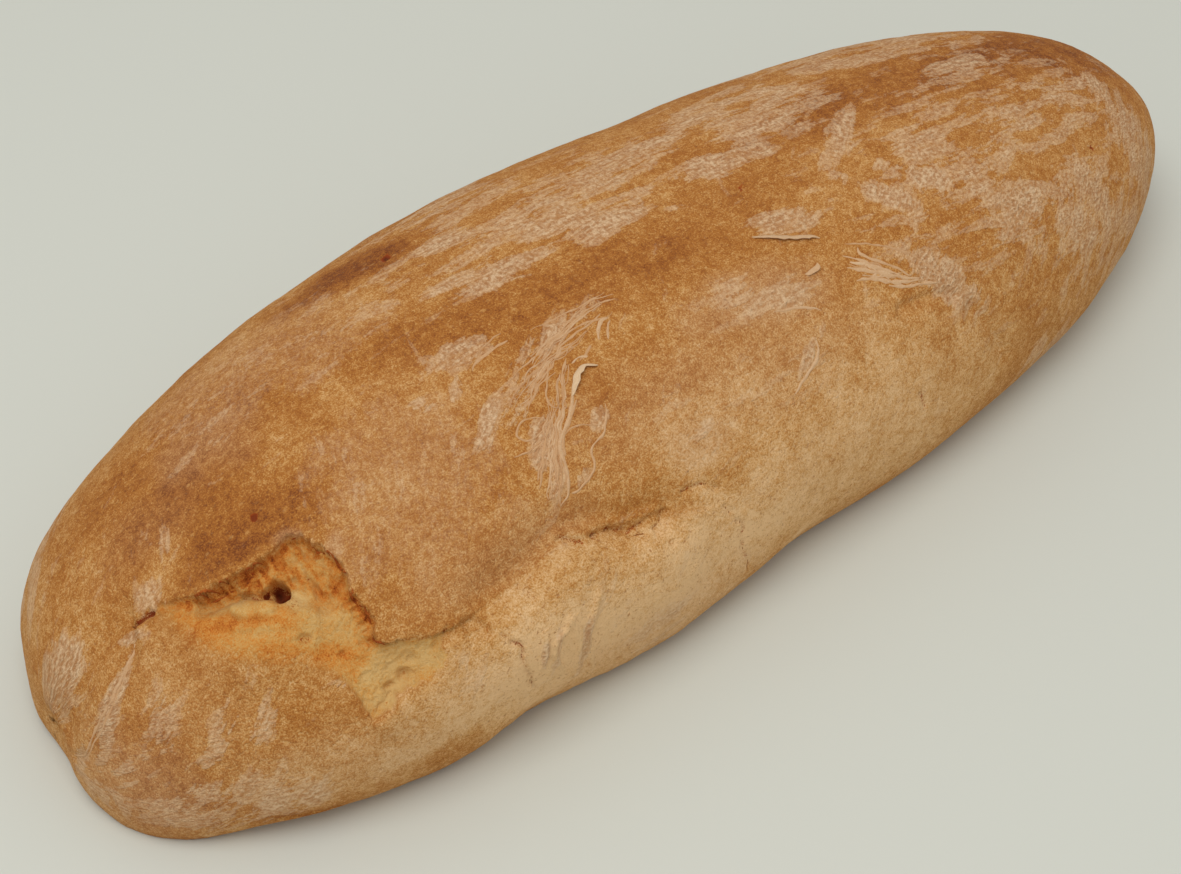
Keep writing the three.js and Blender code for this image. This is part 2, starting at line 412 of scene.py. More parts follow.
CREASES = (
    Crease("near end crease", 2.4, 7, 0.0, (
        (-209, 57), (-203, 72), (-197, 78), (-190, 78.5), (-184, 76))),
    Crease("near end scar", 0.9, 1.6, 0.0, ((-187, 71), (-196, 61), (-203, 45), (-209, 9))),
    Crease("torn foot edge", 1.2, 0.9, 0.5, (
        (-176, -10.6), (-171, -12.4), (-166, -13.4), (-160, -15)), dark=0.34),
    Crease("start of the split", 1.6, 0.8, 0.4, (
        (-186, 76.8), (-184.1, 75.8), (-181.8, 75.5), (-179.6, 74.6)), dark=0.45),
    Crease("rim of the flap", -1.5, 0.5, 0.4, (
        (-149, 17.4), (-146, 17), (-144, 18.1), (-141.2, 20.1), (-137, 21.1), (-133, 22), (-129, 21.8),
        (-126.4, 25), (-125.8, 29)), lower_width=5.0),
    # Painted shade on the torn floor under the flap's rim
    Crease("floor under the rim", 0.6, 1.1, 0.4, (
        (-147, 18.6), (-144, 19.6), (-141, 21.6), (-137, 22.6), (-133, 23.4), (-129.6, 23.6),
        (-127.6, 26), (-127, 29)), dark=0.1),
    # Painted shade along the edge of the scoop by the flap
    Crease("scoop by the flap", 1.5, 0.6, 0.4, (
        (-119, 30.2), (-116.9, 29.8), (-114.6, 27.8), (-113.4, 25.6),
        (-113.4, 23)), lower_width=3.4, dark=0.16),
    # Painted shade under the shelf that overhangs the fold
    Crease("shelf over the fold", 1.4, 0.7, 0.5, (
        (-170, 69), (-166, 67.6), (-161, 65.6), (-157.5, 63.6),
        (-154, 61.6)), lower_width=3.0, dark=0.15),
    Crease("lip of the tongue", -1.5, 0.6, 0.3, (
        (-166, 64.4), (-161.6, 64.4), (-159.6, 62.6), (-157.6, 60), (-155.6, 56.4)), lower_width=4.0),
    Crease("shadow over the tongue", 1.6, 0.9, 0.2, (
        (-163, 65.8), (-160.6, 64.6), (-158.4, 62), (-156, 60.6)), dark=0.3),
    # Painted shade in the hollow beside the hole
    Crease("hollow beside the hole", 1.8, 2.4, 0.2, (
        (-154.4, 60), (-153, 57), (-151.5, 53.8)), dark=0.2),
    Crease("orange fold in the mound", 1.3, 1.2, 0.3, (
        (-168, 65.4), (-166.8, 62.4), (-165.4, 59.8), (-162.2, 57.1), (-158.4, 55))),
    Crease("second fold in the mound", 0.9, 1.6, 0.4, ((-171, 63), (-169, 59), (-165, 55), (-160, 52))),
    Crease("crack beside the flap", 1.1, 0.6, 0.5, (
        (-110.8, 23.4), (-109.4, 20.1), (-106.8, 17.1), (-107, 13.7), (-106.6, 10), (-105.2, 5),
        (-103.6, -1)), dark=0.28, broken=0.5),
    Crease("slit on the skirt", 0.7, 0.6, 0.3, ((-100.6, 30.4), (-99.2, 28), (-98.2, 25)), dark=0.25),
    Crease("first slit of the skirt", 1.0, 0.6, 0.2, (
        (-84.6, 35.4), (-83, 33.6), (-81.4, 32), (-79, 30)), lower_width=0.9, dark=0.3),
    Crease("spot between the slits", 1.2, 0.8, 0.1, (
        (-76.2, 30.6), (-75.4, 30.1), (-74.6, 29.6)), dark=0.4),
    Crease("thin slit", 0.6, 0.6, 0.2, ((-75, 29.8), (-73, 29.3), (-70.4, 28.7)), dark=0.25),
    Crease("second slit of the skirt", 1.6, 0.6, 0.2, (
        (-71, 30), (-69.6, 28.6), (-67.6, 27.2), (-65.6, 25.8)), lower_width=1.2, dark=0.3),
    Crease("rising slit", 1.0, 0.6, 0.3, (
        (-66.4, 25), (-63.2, 25.6), (-59.6, 25.2)), lower_width=1.4, dark=0.28),
    Crease("low slit", 0.7, 0.6, 0.3, ((-65, 23.8), (-62.6, 23.2), (-60.6, 22.6)), dark=0.22),
    Crease("last slit of the skirt", 1.2, 0.8, 0.3, (
        (-58.6, 22.6), (-56.4, 22.6), (-54.6, 23.6), (-53.4, 26)), lower_width=1.8, dark=0.2),
    Crease("roll over the slits", -1.1, 2.6, 0.3, (
        (-87, 36.4), (-79, 32.6), (-71, 31), (-62, 27.6), (-53, 26.4)), lower_width=0.9),
    Crease("crack above the skirt", 0.8, 0.6, 0.4, (
        (-47.4, 27.6), (-44.6, 27.9), (-39.4, 26.5),
        (-35.4, 23)), lower_width=1.4, dark=0.28, broken=0.4),
    Crease("crack down the skirt", 0.8, 0.7, 0.4, (
        (-36.4, 18.6), (-35.2, 16.4), (-32.4, 11.7), (-30.6, 8.7), (-31, 2.4), (-28.7, -2.6),
        (-28.2, -9)), dark=0.24, broken=0.4),
    Crease("membrane one", -0.9, 0.9, 0.3, (
        (-91, 17.6), (-92.6, 14), (-96.8, 12.4), (-97.8, 9.1), (-95.9, 3.4), (-94.2, -2))),
    Crease("membrane two", -0.9, 0.9, 0.3, (
        (-90.6, 17), (-90.3, 10.7), (-89.4, 6.7), (-89.4, 1.4), (-89.4, -8))),
    Crease("membrane three", -1.1, 1.1, 0.3, (
        (-81, 19), (-83.8, 13.7), (-86.1, 8.1), (-86.4, 4.7), (-85.2, -1.6), (-84.3, -11))),
    Crease("membrane four", -0.9, 0.8, 0.2, (
        (-99.2, 17), (-99.6, 14.7), (-100.6, 10.4), (-101.5, 5.7))),
    # Painted shadow line along the edge and side of the far dome
    Crease("edge of the far dome", 1.4, 1.3, 0.4, (
        (40.4, 39.8), (47, 40.1), (56, 38.4), (60.4, 36.8), (64.2, 33.4)), lower_width=3.0, dark=0.06),
    Crease("side of the far dome", 1.4, 1.5, 0.6, (
        (66, 31), (73, 19), (77, 10), (80, 3)), lower_width=3.0, dark=0.15),
    Crease("little dark crack", 0.8, 0.8, 0.2, ((39.9, 14.1), (41.8, 10.7), (41.8, 7.1)), dark=0.3),
    Crease("red slit", 0.7, 0.8, 0.1, ((13.2, 52.2), (13.8, 51.2), (14.2, 50)), dark=0.35),
)

# A pit's dark is painted shade inside it
PITS = (
    Pit("tail of the hole", (-157.4, 62.8), 1.7, 3.5, 0.55),
    Pit("floor pit", (-154.3, 46.8), 1.7, 1.5, 0.2),
    Pit("floor pit low", (-149, 39), 1.4, 1.0, 0.2),
    Pit("wall pit", (-146.5, 60), 1.2, 0.9, 0.3),
    Pit("wall pit high", (-148.5, 64.5), 1.1, 0.8, 0.35),
    Pit("torn floor pit", (-141.2, 22.8), 1.7, 1.6, 0.22),
    Pit("torn floor pit low", (-141.4, 21), 1.3, 1.2, 0.2),
    Pit("torn floor pit two", (-136.5, 24), 1.6, 1.3, 0.18),
    Pit("skirt spot", (-55.3, 17.4), 0.8, 0.6, 0.2),
    Pit("torn floor pit three", (-133.5, 27.5), 1.1, 1.0, 0.15),
    Pit("valley spot", (-123.4, 30.4), 1.4, 1.2, 0.25),
    Pit("near pit", (-196, 90.8), 1.4, 0.8, 0.4),
    Pit("crown pit", (-95, 79.8), 0.9, 0.8, 0.7),
    Pit("crown pit two", (-88.4, 86.8), 1.4, 0.8, 0.6),
    Pit("back crack", (-70.8, 118.5), 1.6, 1.0, 0.7),
    Pit("far spot", (144, 48.8), 1.6, 0.8, 0.6),
    Pit("red spot", (-148.2, 77.5), 1.1, 0.5, 0.5),
    Pit("far back slit", (104.3, 119.9), 1.7, 0.9, 0.6),
    Pit("crown slit", (25.4, 87.8), 1.5, 0.8, 0.5),
)


@dataclass
class BurstSurvey:
    """Where each point lies in the burst."""

    edge: Array
    share: Array
    above: Array
    crumb: Array
    wall: Array
    fold: Array
    skirt: Array
    hole: Array
    opening: Array


@dataclass(frozen=True)
class Burst:
    """The tear along the front: torn crust edge, bared crumb, blow hole, valley and skirt."""

    split: CrustPath = CrustPath((
        (-184, 76), (-178, 74.8), (-171, 71), (-164, 69.5), (-157, 68.6), (-151, 68.4), (-146.5, 69.2),
        (-143.5, 68.8), (-141, 65.5), (-138.8, 61.5), (-138, 55.5), (-139.6, 50.5), (-138.4, 46),
        (-138.4, 42), (-140, 38.8), (-138, 35.8), (-133.7, 33.8), (-127.6, 31.2), (-117, 30),
        (-99, 31), (-84, 34), (-76, 31), (-66, 26), (-54, 23)), 120)
    crumb_edge: CrustPath = CrustPath((
        (-184, 76), (-181, 62), (-177, 50), (-168, 42), (-158, 35), (-152, 29), (-148.7, 18), (-144, 17.8),
        (-140.3, 20.4), (-134.2, 21.4), (-128, 21.8), (-126, 25), (-124.8, 28.8), (-118, 29.5)))
    fold: CrustPath = CrustPath((
        (-173, 68.6), (-166, 66.8), (-160, 64), (-154, 61), (-149.5, 57), (-144, 49)))
    fold_depth: float = 3.8
    fold_upper: float = 6.5
    fold_lower: float = 2.4
    hole_at: Place = (-154.0, 61.0)
    hole_radius: float = 3.3
    hole_depth: float = 6.5
    hole_squeeze: Triple = (1.2, 0.9, 1.0)
    hole_wall: Span = (0.55, 1.15)
    hole_fray: float = 0.6
    fold_reach: float = 26.0
    fold_fray: float = 0.4
    wall_start: Span = (-0.5, 2.5)
    eye_end: Span = (-136.0, -124.0)
    eye_fray: float = 0.55
    crumb_end: Span = (-122.0, -114.0)
    opening: float = 0.2
    opening_gains: tuple[tuple[float, Span], ...] = ((0.35, (-182.0, -166.0)), (0.45, (-158.0, -146.0)))
    opening_loss: float = 0.7
    opening_end: Span = (-140.0, -130.0)
    step: float = 0.35
    lip_rise: float = 1.2
    lip_width: float = 7.0
    crumb_drop: float = 2.5
    soft_near: float = 14.0
    soft_far: float = 0.6
    soft_span: Span = (-156.0, -147.0)
    skirt_span: tuple[float, float, float, float] = (-124.0, -106.0, -60.0, -34.0)
    skirt_rise: float = 3.0
    skirt_line: Span = (-13.0, 14.0)
    valley_depth: float = 3.8
    valley_line: Span = (2.5, 6.5)
    reach: float = 60.0

    def survey(self, loaf: BareLoaf, points: Array, normals: Array, jitter: Array) -> BurstSurvey:
        """Measure points against the torn edges.

        Args:
            loaf: The bare loaf.
            points: Points of the bare loaf.
            normals: Outward directions there.
            jitter: Noise that makes the edges ragged.

        Returns:
            The survey of the points.
        """
        edge, share = self.split.nearest(loaf, points, normals, self.reach)
        lower, _ = self.crumb_edge.nearest(loaf, points, normals, self.reach)
        fold, fold_share = self.fold.nearest(loaf, points, normals, self.fold_reach)
        x = points[:, 0]
        eye = 1.0 - smooth(x, *self.eye_end)
        frayed = jitter * (1.0 - self.eye_fray * (1.0 - eye))
        edge = edge + np.where(edge < FAR_AWAY / 2, frayed, 0.0)
        above = smooth(edge, -self.step, self.step)
        soft = self.soft_near + (self.soft_far - self.soft_near) * smooth(x, *self.soft_span)
        rise = smooth((lower + jitter) / soft, 0.0, 1.0)
        crumb = (1.0 - above) * rise * (lower < FAR_AWAY / 2) * (1.0 - smooth(x, *self.crumb_end))
        width = np.where(fold < 0, self.fold_lower, self.fold_upper)
        groove = (1.0 - above) * bell(fold + self.fold_fray * jitter, width) * fade_ends(fold_share)
        start, full, fade, end = self.skirt_span
        skirt = smooth(x, start, full) * (1.0 - smooth(x, fade, end))
        offset = (points - loaf.at_place(self.hole_at)) * self.hole_squeeze
        slant = np.linalg.norm(offset, axis=1) + self.hole_fray * jitter
        hole = 1.0 - smooth(slant / self.hole_radius, *self.hole_wall)
        wall = crumb * smooth(fold, *self.wall_start) * eye * (fold < FAR_AWAY / 2)
        opening = self.opening + sum(gain * smooth(x, *span) for gain, span in self.opening_gains)
        opening = opening * (1.0 - self.opening_loss * smooth(x, *self.opening_end))
        return BurstSurvey(edge, share, above, crumb, wall, groove, skirt, hole, opening)

    def relief(self, seen: BurstSurvey) -> Array:
        """Height of the torn crust, crumb, valley and skirt.

        Args:
            seen: The survey of the points.

        Returns:
            Heights in millimetres.
        """
        lip = seen.above * bell(seen.edge, self.lip_width) * fade_ends(seen.share)
        skirt = self.skirt_rise * ridge(seen.edge, self.skirt_line)
        valley = self.valley_depth * ridge(seen.edge, self.valley_line)
        height = self.lip_rise * lip * (1.0 - seen.skirt)
        height -= self.crumb_drop * seen.crumb * seen.opening
        height += (skirt - valley) * seen.skirt
        return height - self.fold_depth * seen.fold - self.hole_depth * seen.hole


class Lay(Enum):
    """Which way the streaks of a flour film run, an unbroken veil, or a haze without an edge."""

    ALONG = "flour_along"
    ACROSS = "flour_across"
    SLANT = "flour_slant"
    VEIL = "flour_veil"
    HAZE = "flour_haze"


@dataclass(frozen=True)
class Stroke:
    """Patch of the crust with a soft ragged edge."""

    name: str
    x: float
    degrees: float
    half_length: float
    half_width: float
    turn: float
    amount: float
    lay: Lay = Lay.ALONG
    fray: float = 0.25
    edge: Span = (0.3, 1.45)
    depth: float = 2.0

    def cover(self, loaf: BareLoaf, points: Array, ragged: Array) -> Array:
        """Find how much of the stroke lies on each point.

        Args:
            loaf: The bare loaf.
            points: Points of the bare loaf.
            ragged: Noise that frays the edge.

        Returns:
            Cover from 0 to the stroke's amount.
        """
        along, across, out = loaf.tangents((self.x, self.degrees), self.turn)
        offset = points - loaf.at_place((self.x, self.degrees))
        spread = np.hypot(offset @ along / self.half_length, offset @ across / self.half_width)
        near = np.abs(offset @ out) < self.depth * max(self.half_length, self.half_width)
        return self.amount * (1.0 - smooth(spread + self.fray * ragged, *self.edge)) * near


# Flour by its lay: name, x, degrees, half length, half width, turn and amount of each stroke
HAZES = (
    ("near side haze", -186, 44, 22, 20, 30, 0.12),
    ("shoulder haze", -172, 91, 18, 11, 0, 0.12),
    ("near end haze", -200, 8, 22, 18, 0, 0.42),
    ("great patch haze", -107, 74, 26, 16, 30, 0.1),
    ("front haze", -18, 46, 55, 15, -8, 0.3),
    ("front haze near", -36, 38, 14, 9, 0, 0.5),
    ("far front haze", 25, 22, 55, 20, 0, 0.1),
    ("near low haze", -160, 6, 34, 13, 0, 0.3),
    ("skirt haze", -58, -6, 36, 11, 0, 0.28),
    ("flap haze", -122, 12, 16, 8, 0, 0.12),
    ("white rim dab", -144.9, 69, 4, 2.4, -20, 0.45),
    ("white rim dab beside", -136.2, 62, 4, 2.4, 60, 0.5),
    ("faint near haze", -146, 97, 16, 10, -20, 0.34),
    ("mauve patch haze", 2, 60, 24, 11, -10, 0.52),
    ("valley haze", -100, 39, 30, 9, 0, 0.28),
)

VEILS = (
    ("near back veil", -120, 111, 42, 21, -20, 0.9),
    ("great patch veil", -111, 65, 27, 28, 0, 0.9),
    ("great patch veil low", -127, 60, 17, 18, 30, 0.7),
)

FILMS_ALONG = (
    ("far dust", 112, 66, 85, 46, 0, 0.44),
    ("back dust", -30, 108, 90, 26, 0, 0.4),
    ("front film", -10, 45, 50, 14, -10, 0.26),
    ("near back film", -127, 104, 40, 18, -15, 0.28),
    ("faint near film", -147, 96, 13, 7, -15, 0.3),
    ("crown patch", -94, 101, 18, 11, -25, 0.3),
    ("white patch", -78, 83, 11, 5, -10, 0.85),
    ("white dab", -97, 78, 4, 3, -30, 0.6),
    ("back dab", -55, 112, 13, 8, 5, 0.85),
    ("back strip middle", -21, 101, 32, 14, -5, 0.68),
    ("back strip lower", -53, 94, 22, 8, -10, 0.7),
    ("back strip streaks", -13, 93, 19, 7, 10, 0.75),
    ("back rim film", -47, 129, 36, 11, -10, 0.5),
    ("back rim far film", 11, 109, 30, 8, -5, 0.7),
    ("far rim film", 117, 118, 45, 16, -10, 0.68),
    ("far back band", 53, 109, 36, 24, -5, 0.64),
    ("far back dab", 30, 94, 18, 7, -5, 0.85),
    ("far blotch", 84, 79, 15, 11, -20, 0.72),
    ("far crown dab", 130, 96, 21, 6, 0, 0.85),
    ("far crown film", 141, 71, 38, 14, 5, 0.56),
    ("far dab one", 97, 45, 15, 9, -10, 0.85),
    ("far faint dab", 112, 48, 9, 4, -20, 0.6),
    ("far dab two", 93, 60, 8, 5, -10, 0.9),
    ("mauve patch", 5, 61, 20, 10, -10, 0.5),
    ("film over the flap", 26, 75, 13, 6, -15, 0.8),
    ("thin dab", 5, 89, 7, 3, -20, 0.5),
    ("ridge foot dab", 12, 29, 8, 2, -10, 0.5),
    ("mauve dab", -35, 40, 7, 4, -5, 0.55),
    ("foot patch", -171, 0, 9, 7, 5, 0.8),
    ("foot rim film", -204, -3, 9, 6, 5, 0.55),
    ("scar bridge", -187, 74, 6, 2, -35, 0.7),
    ("mauve side dab", -153, 31, 4, 3, -10, 0.45),
    ("skirt grey dab", -62, -6, 12, 12, -5, 0.5),
)

FILMS_ACROSS = (
    ("far side dust", 128, 22, 45, 26, -20, 0.42),
    ("near rim film", -193, 136, 23, 10, 25, 0.55),
    ("pale thumb mark", -178, 79, 7, 6, 55, 0.5),
    ("streak over the mark", -169, 86, 8, 3, 60, 0.45),
    ("great patch", -112, 68, 32, 18, 40, 0.24),
    ("white patch stem", -85, 77, 6, 3, 40, 0.7),
    ("film beyond the web", -58.5, 55, 5, 3, 50, 0.8),
    ("film below the web", -71, 44.6, 4, 2.6, 30, 0.8),
    ("far rim dab", 171, 67, 14, 7, -55, 0.62),
    ("far end film", 170, 32, 30, 13, -70, 0.74),
    ("far dab three", 123, 25, 15, 8, -60, 0.82),
    ("far dab four", 138, 29, 18, 7, -60, 0.82),
    ("far dab six", 156, 6, 9, 6, -50, 0.8),
    ("far dab five", 147, -6, 12, 11, -15, 0.6),
    ("film under the arc", 105, -14, 19, 15, -10, 0.65),
    ("ridge streak", 6, 42, 13, 2, 30, 0.6),
    ("lower near film", -191, 44, 16, 6, 42, 0.52),
    ("lower stroke one", -181, 31, 16, 5, 45, 0.6),
    ("lower stroke dab", -186, 23, 3, 3, 75, 0.75),
    ("lower stroke two", -171, 32, 13, 4.4, 45, 0.55),
    ("foot film near", -201, 17, 7, 5, 65, 0.65),
    ("near foot dust", -184, 2, 30, 13, 5, 0.58),
    ("near end patch", -204, 84, 14, 9, 5, 0.95),
    ("near scar", -198, 56, 18, 3.4, 30, 1.0),
    ("scar foot", -207, 24, 8, 3, 45, 0.7),
    ("near left rim", -197, 149, 10, 6, -20, 0.6),
    ("skirt film", -74, 13, 24, 10, -5, 0.3),
    ("membrane film", -87.4, 4, 15, 2.4, 80, 0.95),
    ("membrane film beside", -96.6, 8, 9, 1.6, 80, 0.9),
    ("membrane film near", -100.6, 10, 6, 1.4, 80, 0.8),
    ("flap film", -124, 16, 13, 7, 5, 0.35),
)

FILMS_SLANTED = (
    ("band before the web", -85, 67, 12, 4, 40, 0.8),
    ("fan upper band", -55, 76, 24, 5, 5, 0.6),
    ("fan middle film", -73, 67, 16, 8, 30, 0.52),
    ("fan lower band", -77, 54, 15, 5, 70, 0.85),
    ("slanted stroke", 67, 89, 22, 6, 30, 0.6),
    ("stroke tail", 60, 70, 18, 5, -55, 0.75),
    ("far soft band", 75, 70, 15, 5, -45, 0.78),
    ("second web film", 62, 40, 20, 7, -55, 0.8),
)

FLOUR = tuple(Stroke(*row, lay) for lay, rows in (
    (Lay.HAZE, HAZES),
    (Lay.VEIL, VEILS),
    (Lay.ALONG, FILMS_ALONG),
    (Lay.ACROSS, FILMS_ACROSS),
    (Lay.SLANT, FILMS_SLANTED),
) for row in rows)

# Deeper and paler baking, added to or taken from the even bake of the crust
BAKE = tuple(Stroke(*row) for row in (
    ("warm skirt front", -74, 16, 20, 9, 0, 0.05),
    ("brown brow", -149, 75, 22, 8, -5, 0.24),
    ("red brow over the left rim", -158, 72.6, 14, 3, -8, 0.15),
    ("brown near shoulder", -162, 88, 26, 13, -10, 0.2),
    ("scorch on the back", -80, 122, 24, 9, -10, 0.34),
    ("brown crown", -22, 83, 52, 13, 0, 0.14),
    ("brown behind the web", -76, 90, 28, 9, -10, 0.14),
    ("golden below the burst", -166, 42, 22, 9, -20, -0.06),
    ("red foot edge", -168, -13, 12, 4, -8, 0.2),
    ("brown far crown", 95, 97, 62, 14, 0, 0.2),
    ("brown far end", 175, 80, 24, 22, 0, 0.12),
    ("brown lower near side", -172, 36, 16, 12, 0, 0.04),
    ("pale skirt", -74, 2, 58, 28, 0, -0.26),
    ("pale flap", -124, 10, 22, 16, 0, -0.13),
    ("warm skirt", -75, 20, 24, 9, -10, 0.1),
    ("warm skirt low", -112, 6, 16, 6, 0, 0.03),
    ("pale near foot", -156, 4, 26, 11, 0, -0.12),
    ("brown near back", -150, 106, 44, 16, -10, 0.14),
    ("pale membranes", -92, 6, 17, 14, 0, -0.22),
    ("first pocket between membranes", -92.8, 7, 8, 1.6, 80, 0.06),
    ("second pocket between membranes", -87.4, 4, 10, 1.4, 80, 0.06),
    ("third pocket between membranes", -98.6, 5, 7, 1.3, 80, 0.08),
    ("brown near end", -196, 20, 18, 18, 0, 0.18),
    ("brown far rim", 162, 98, 38, 20, 0, 0.2),
    ("pale middle front", -36, 38, 20, 12, 0, -0.18),
    ("pale far front", 10, 8, 60, 28, 0, -0.28),
    ("pale upper front", 12, 42, 40, 12, -10, -0.08),
    ("pale thumb mark", -172, 82, 9, 6, 40, -0.16),
))

# Toasting of the bared crumb, from cream to dark brown
TOAST = tuple(Stroke(*row) for row in (
    ("gold wall under the left rim", -160, 67.6, 14, 3.4, -8, 0.06),
    ("orange peel", -67.9, 21.4, 4, 4, 0, 0.2),
    ("gold wall", -146, 62, 8, 8, 0, 0.06),
    ("cream tongue", -160.5, 59.8, 10, 4.4, -35, -0.17),
    ("cream beside the hole", -151.5, 57.5, 5, 3, -40, -0.26),
    ("orange left fold", -167.5, 61.5, 3.5, 3, -40, 0.24),
    ("orange fold", -161, 56.5, 8, 1.6, -30, 0.24),
    ("orange near side", -177, 59, 9, 7, -40, 0.12),
    ("orange lower side", -168, 49, 13, 5, -30, 0.13),
    ("orange floor", -154, 42, 10, 3, -35, 0.1),
    ("pale floor", -148, 47, 9, 6, -35, -0.18),
    ("olive torn floor", -137, 26, 13, 9, 0, -0.2),
    ("pale low corner", -144, 19, 9, 6, 0, -0.2),
))


@dataclass(frozen=True)
class UnseenDust:
    """Seeded flour films on the back, which the photograph doesn't show."""

    seed: int = 5
    count: int = 16
    x: Span = (-180, 185)
    degrees: Span = (140, 192)
    half_length: Span = (14, 36)
    half_width: Span = (5, 13)
    turn: Span = (-14, 14)
    amount: Span = (0.4, 0.75)

    def strokes(self) -> list[Stroke]:
        """Draw the films."""
        draw = np.random.default_rng(self.seed)
        spans = (self.x, self.degrees, self.half_length, self.half_width, self.turn, self.amount)
        return [Stroke("back film", *(draw.uniform(*span) for span in spans)) for _ in range(self.count)]


@dataclass
class CrustField:
    """Everything known about a set of crust points: place, relief and finish."""

    points: Array
    normals: Array
    bake: Array
    crumb: Array
    toast: Array
    # Painted shade of holes, pits and cracks, and the scorch of the torn rim
    dark: Array
    flour: dict[Lay, Array]


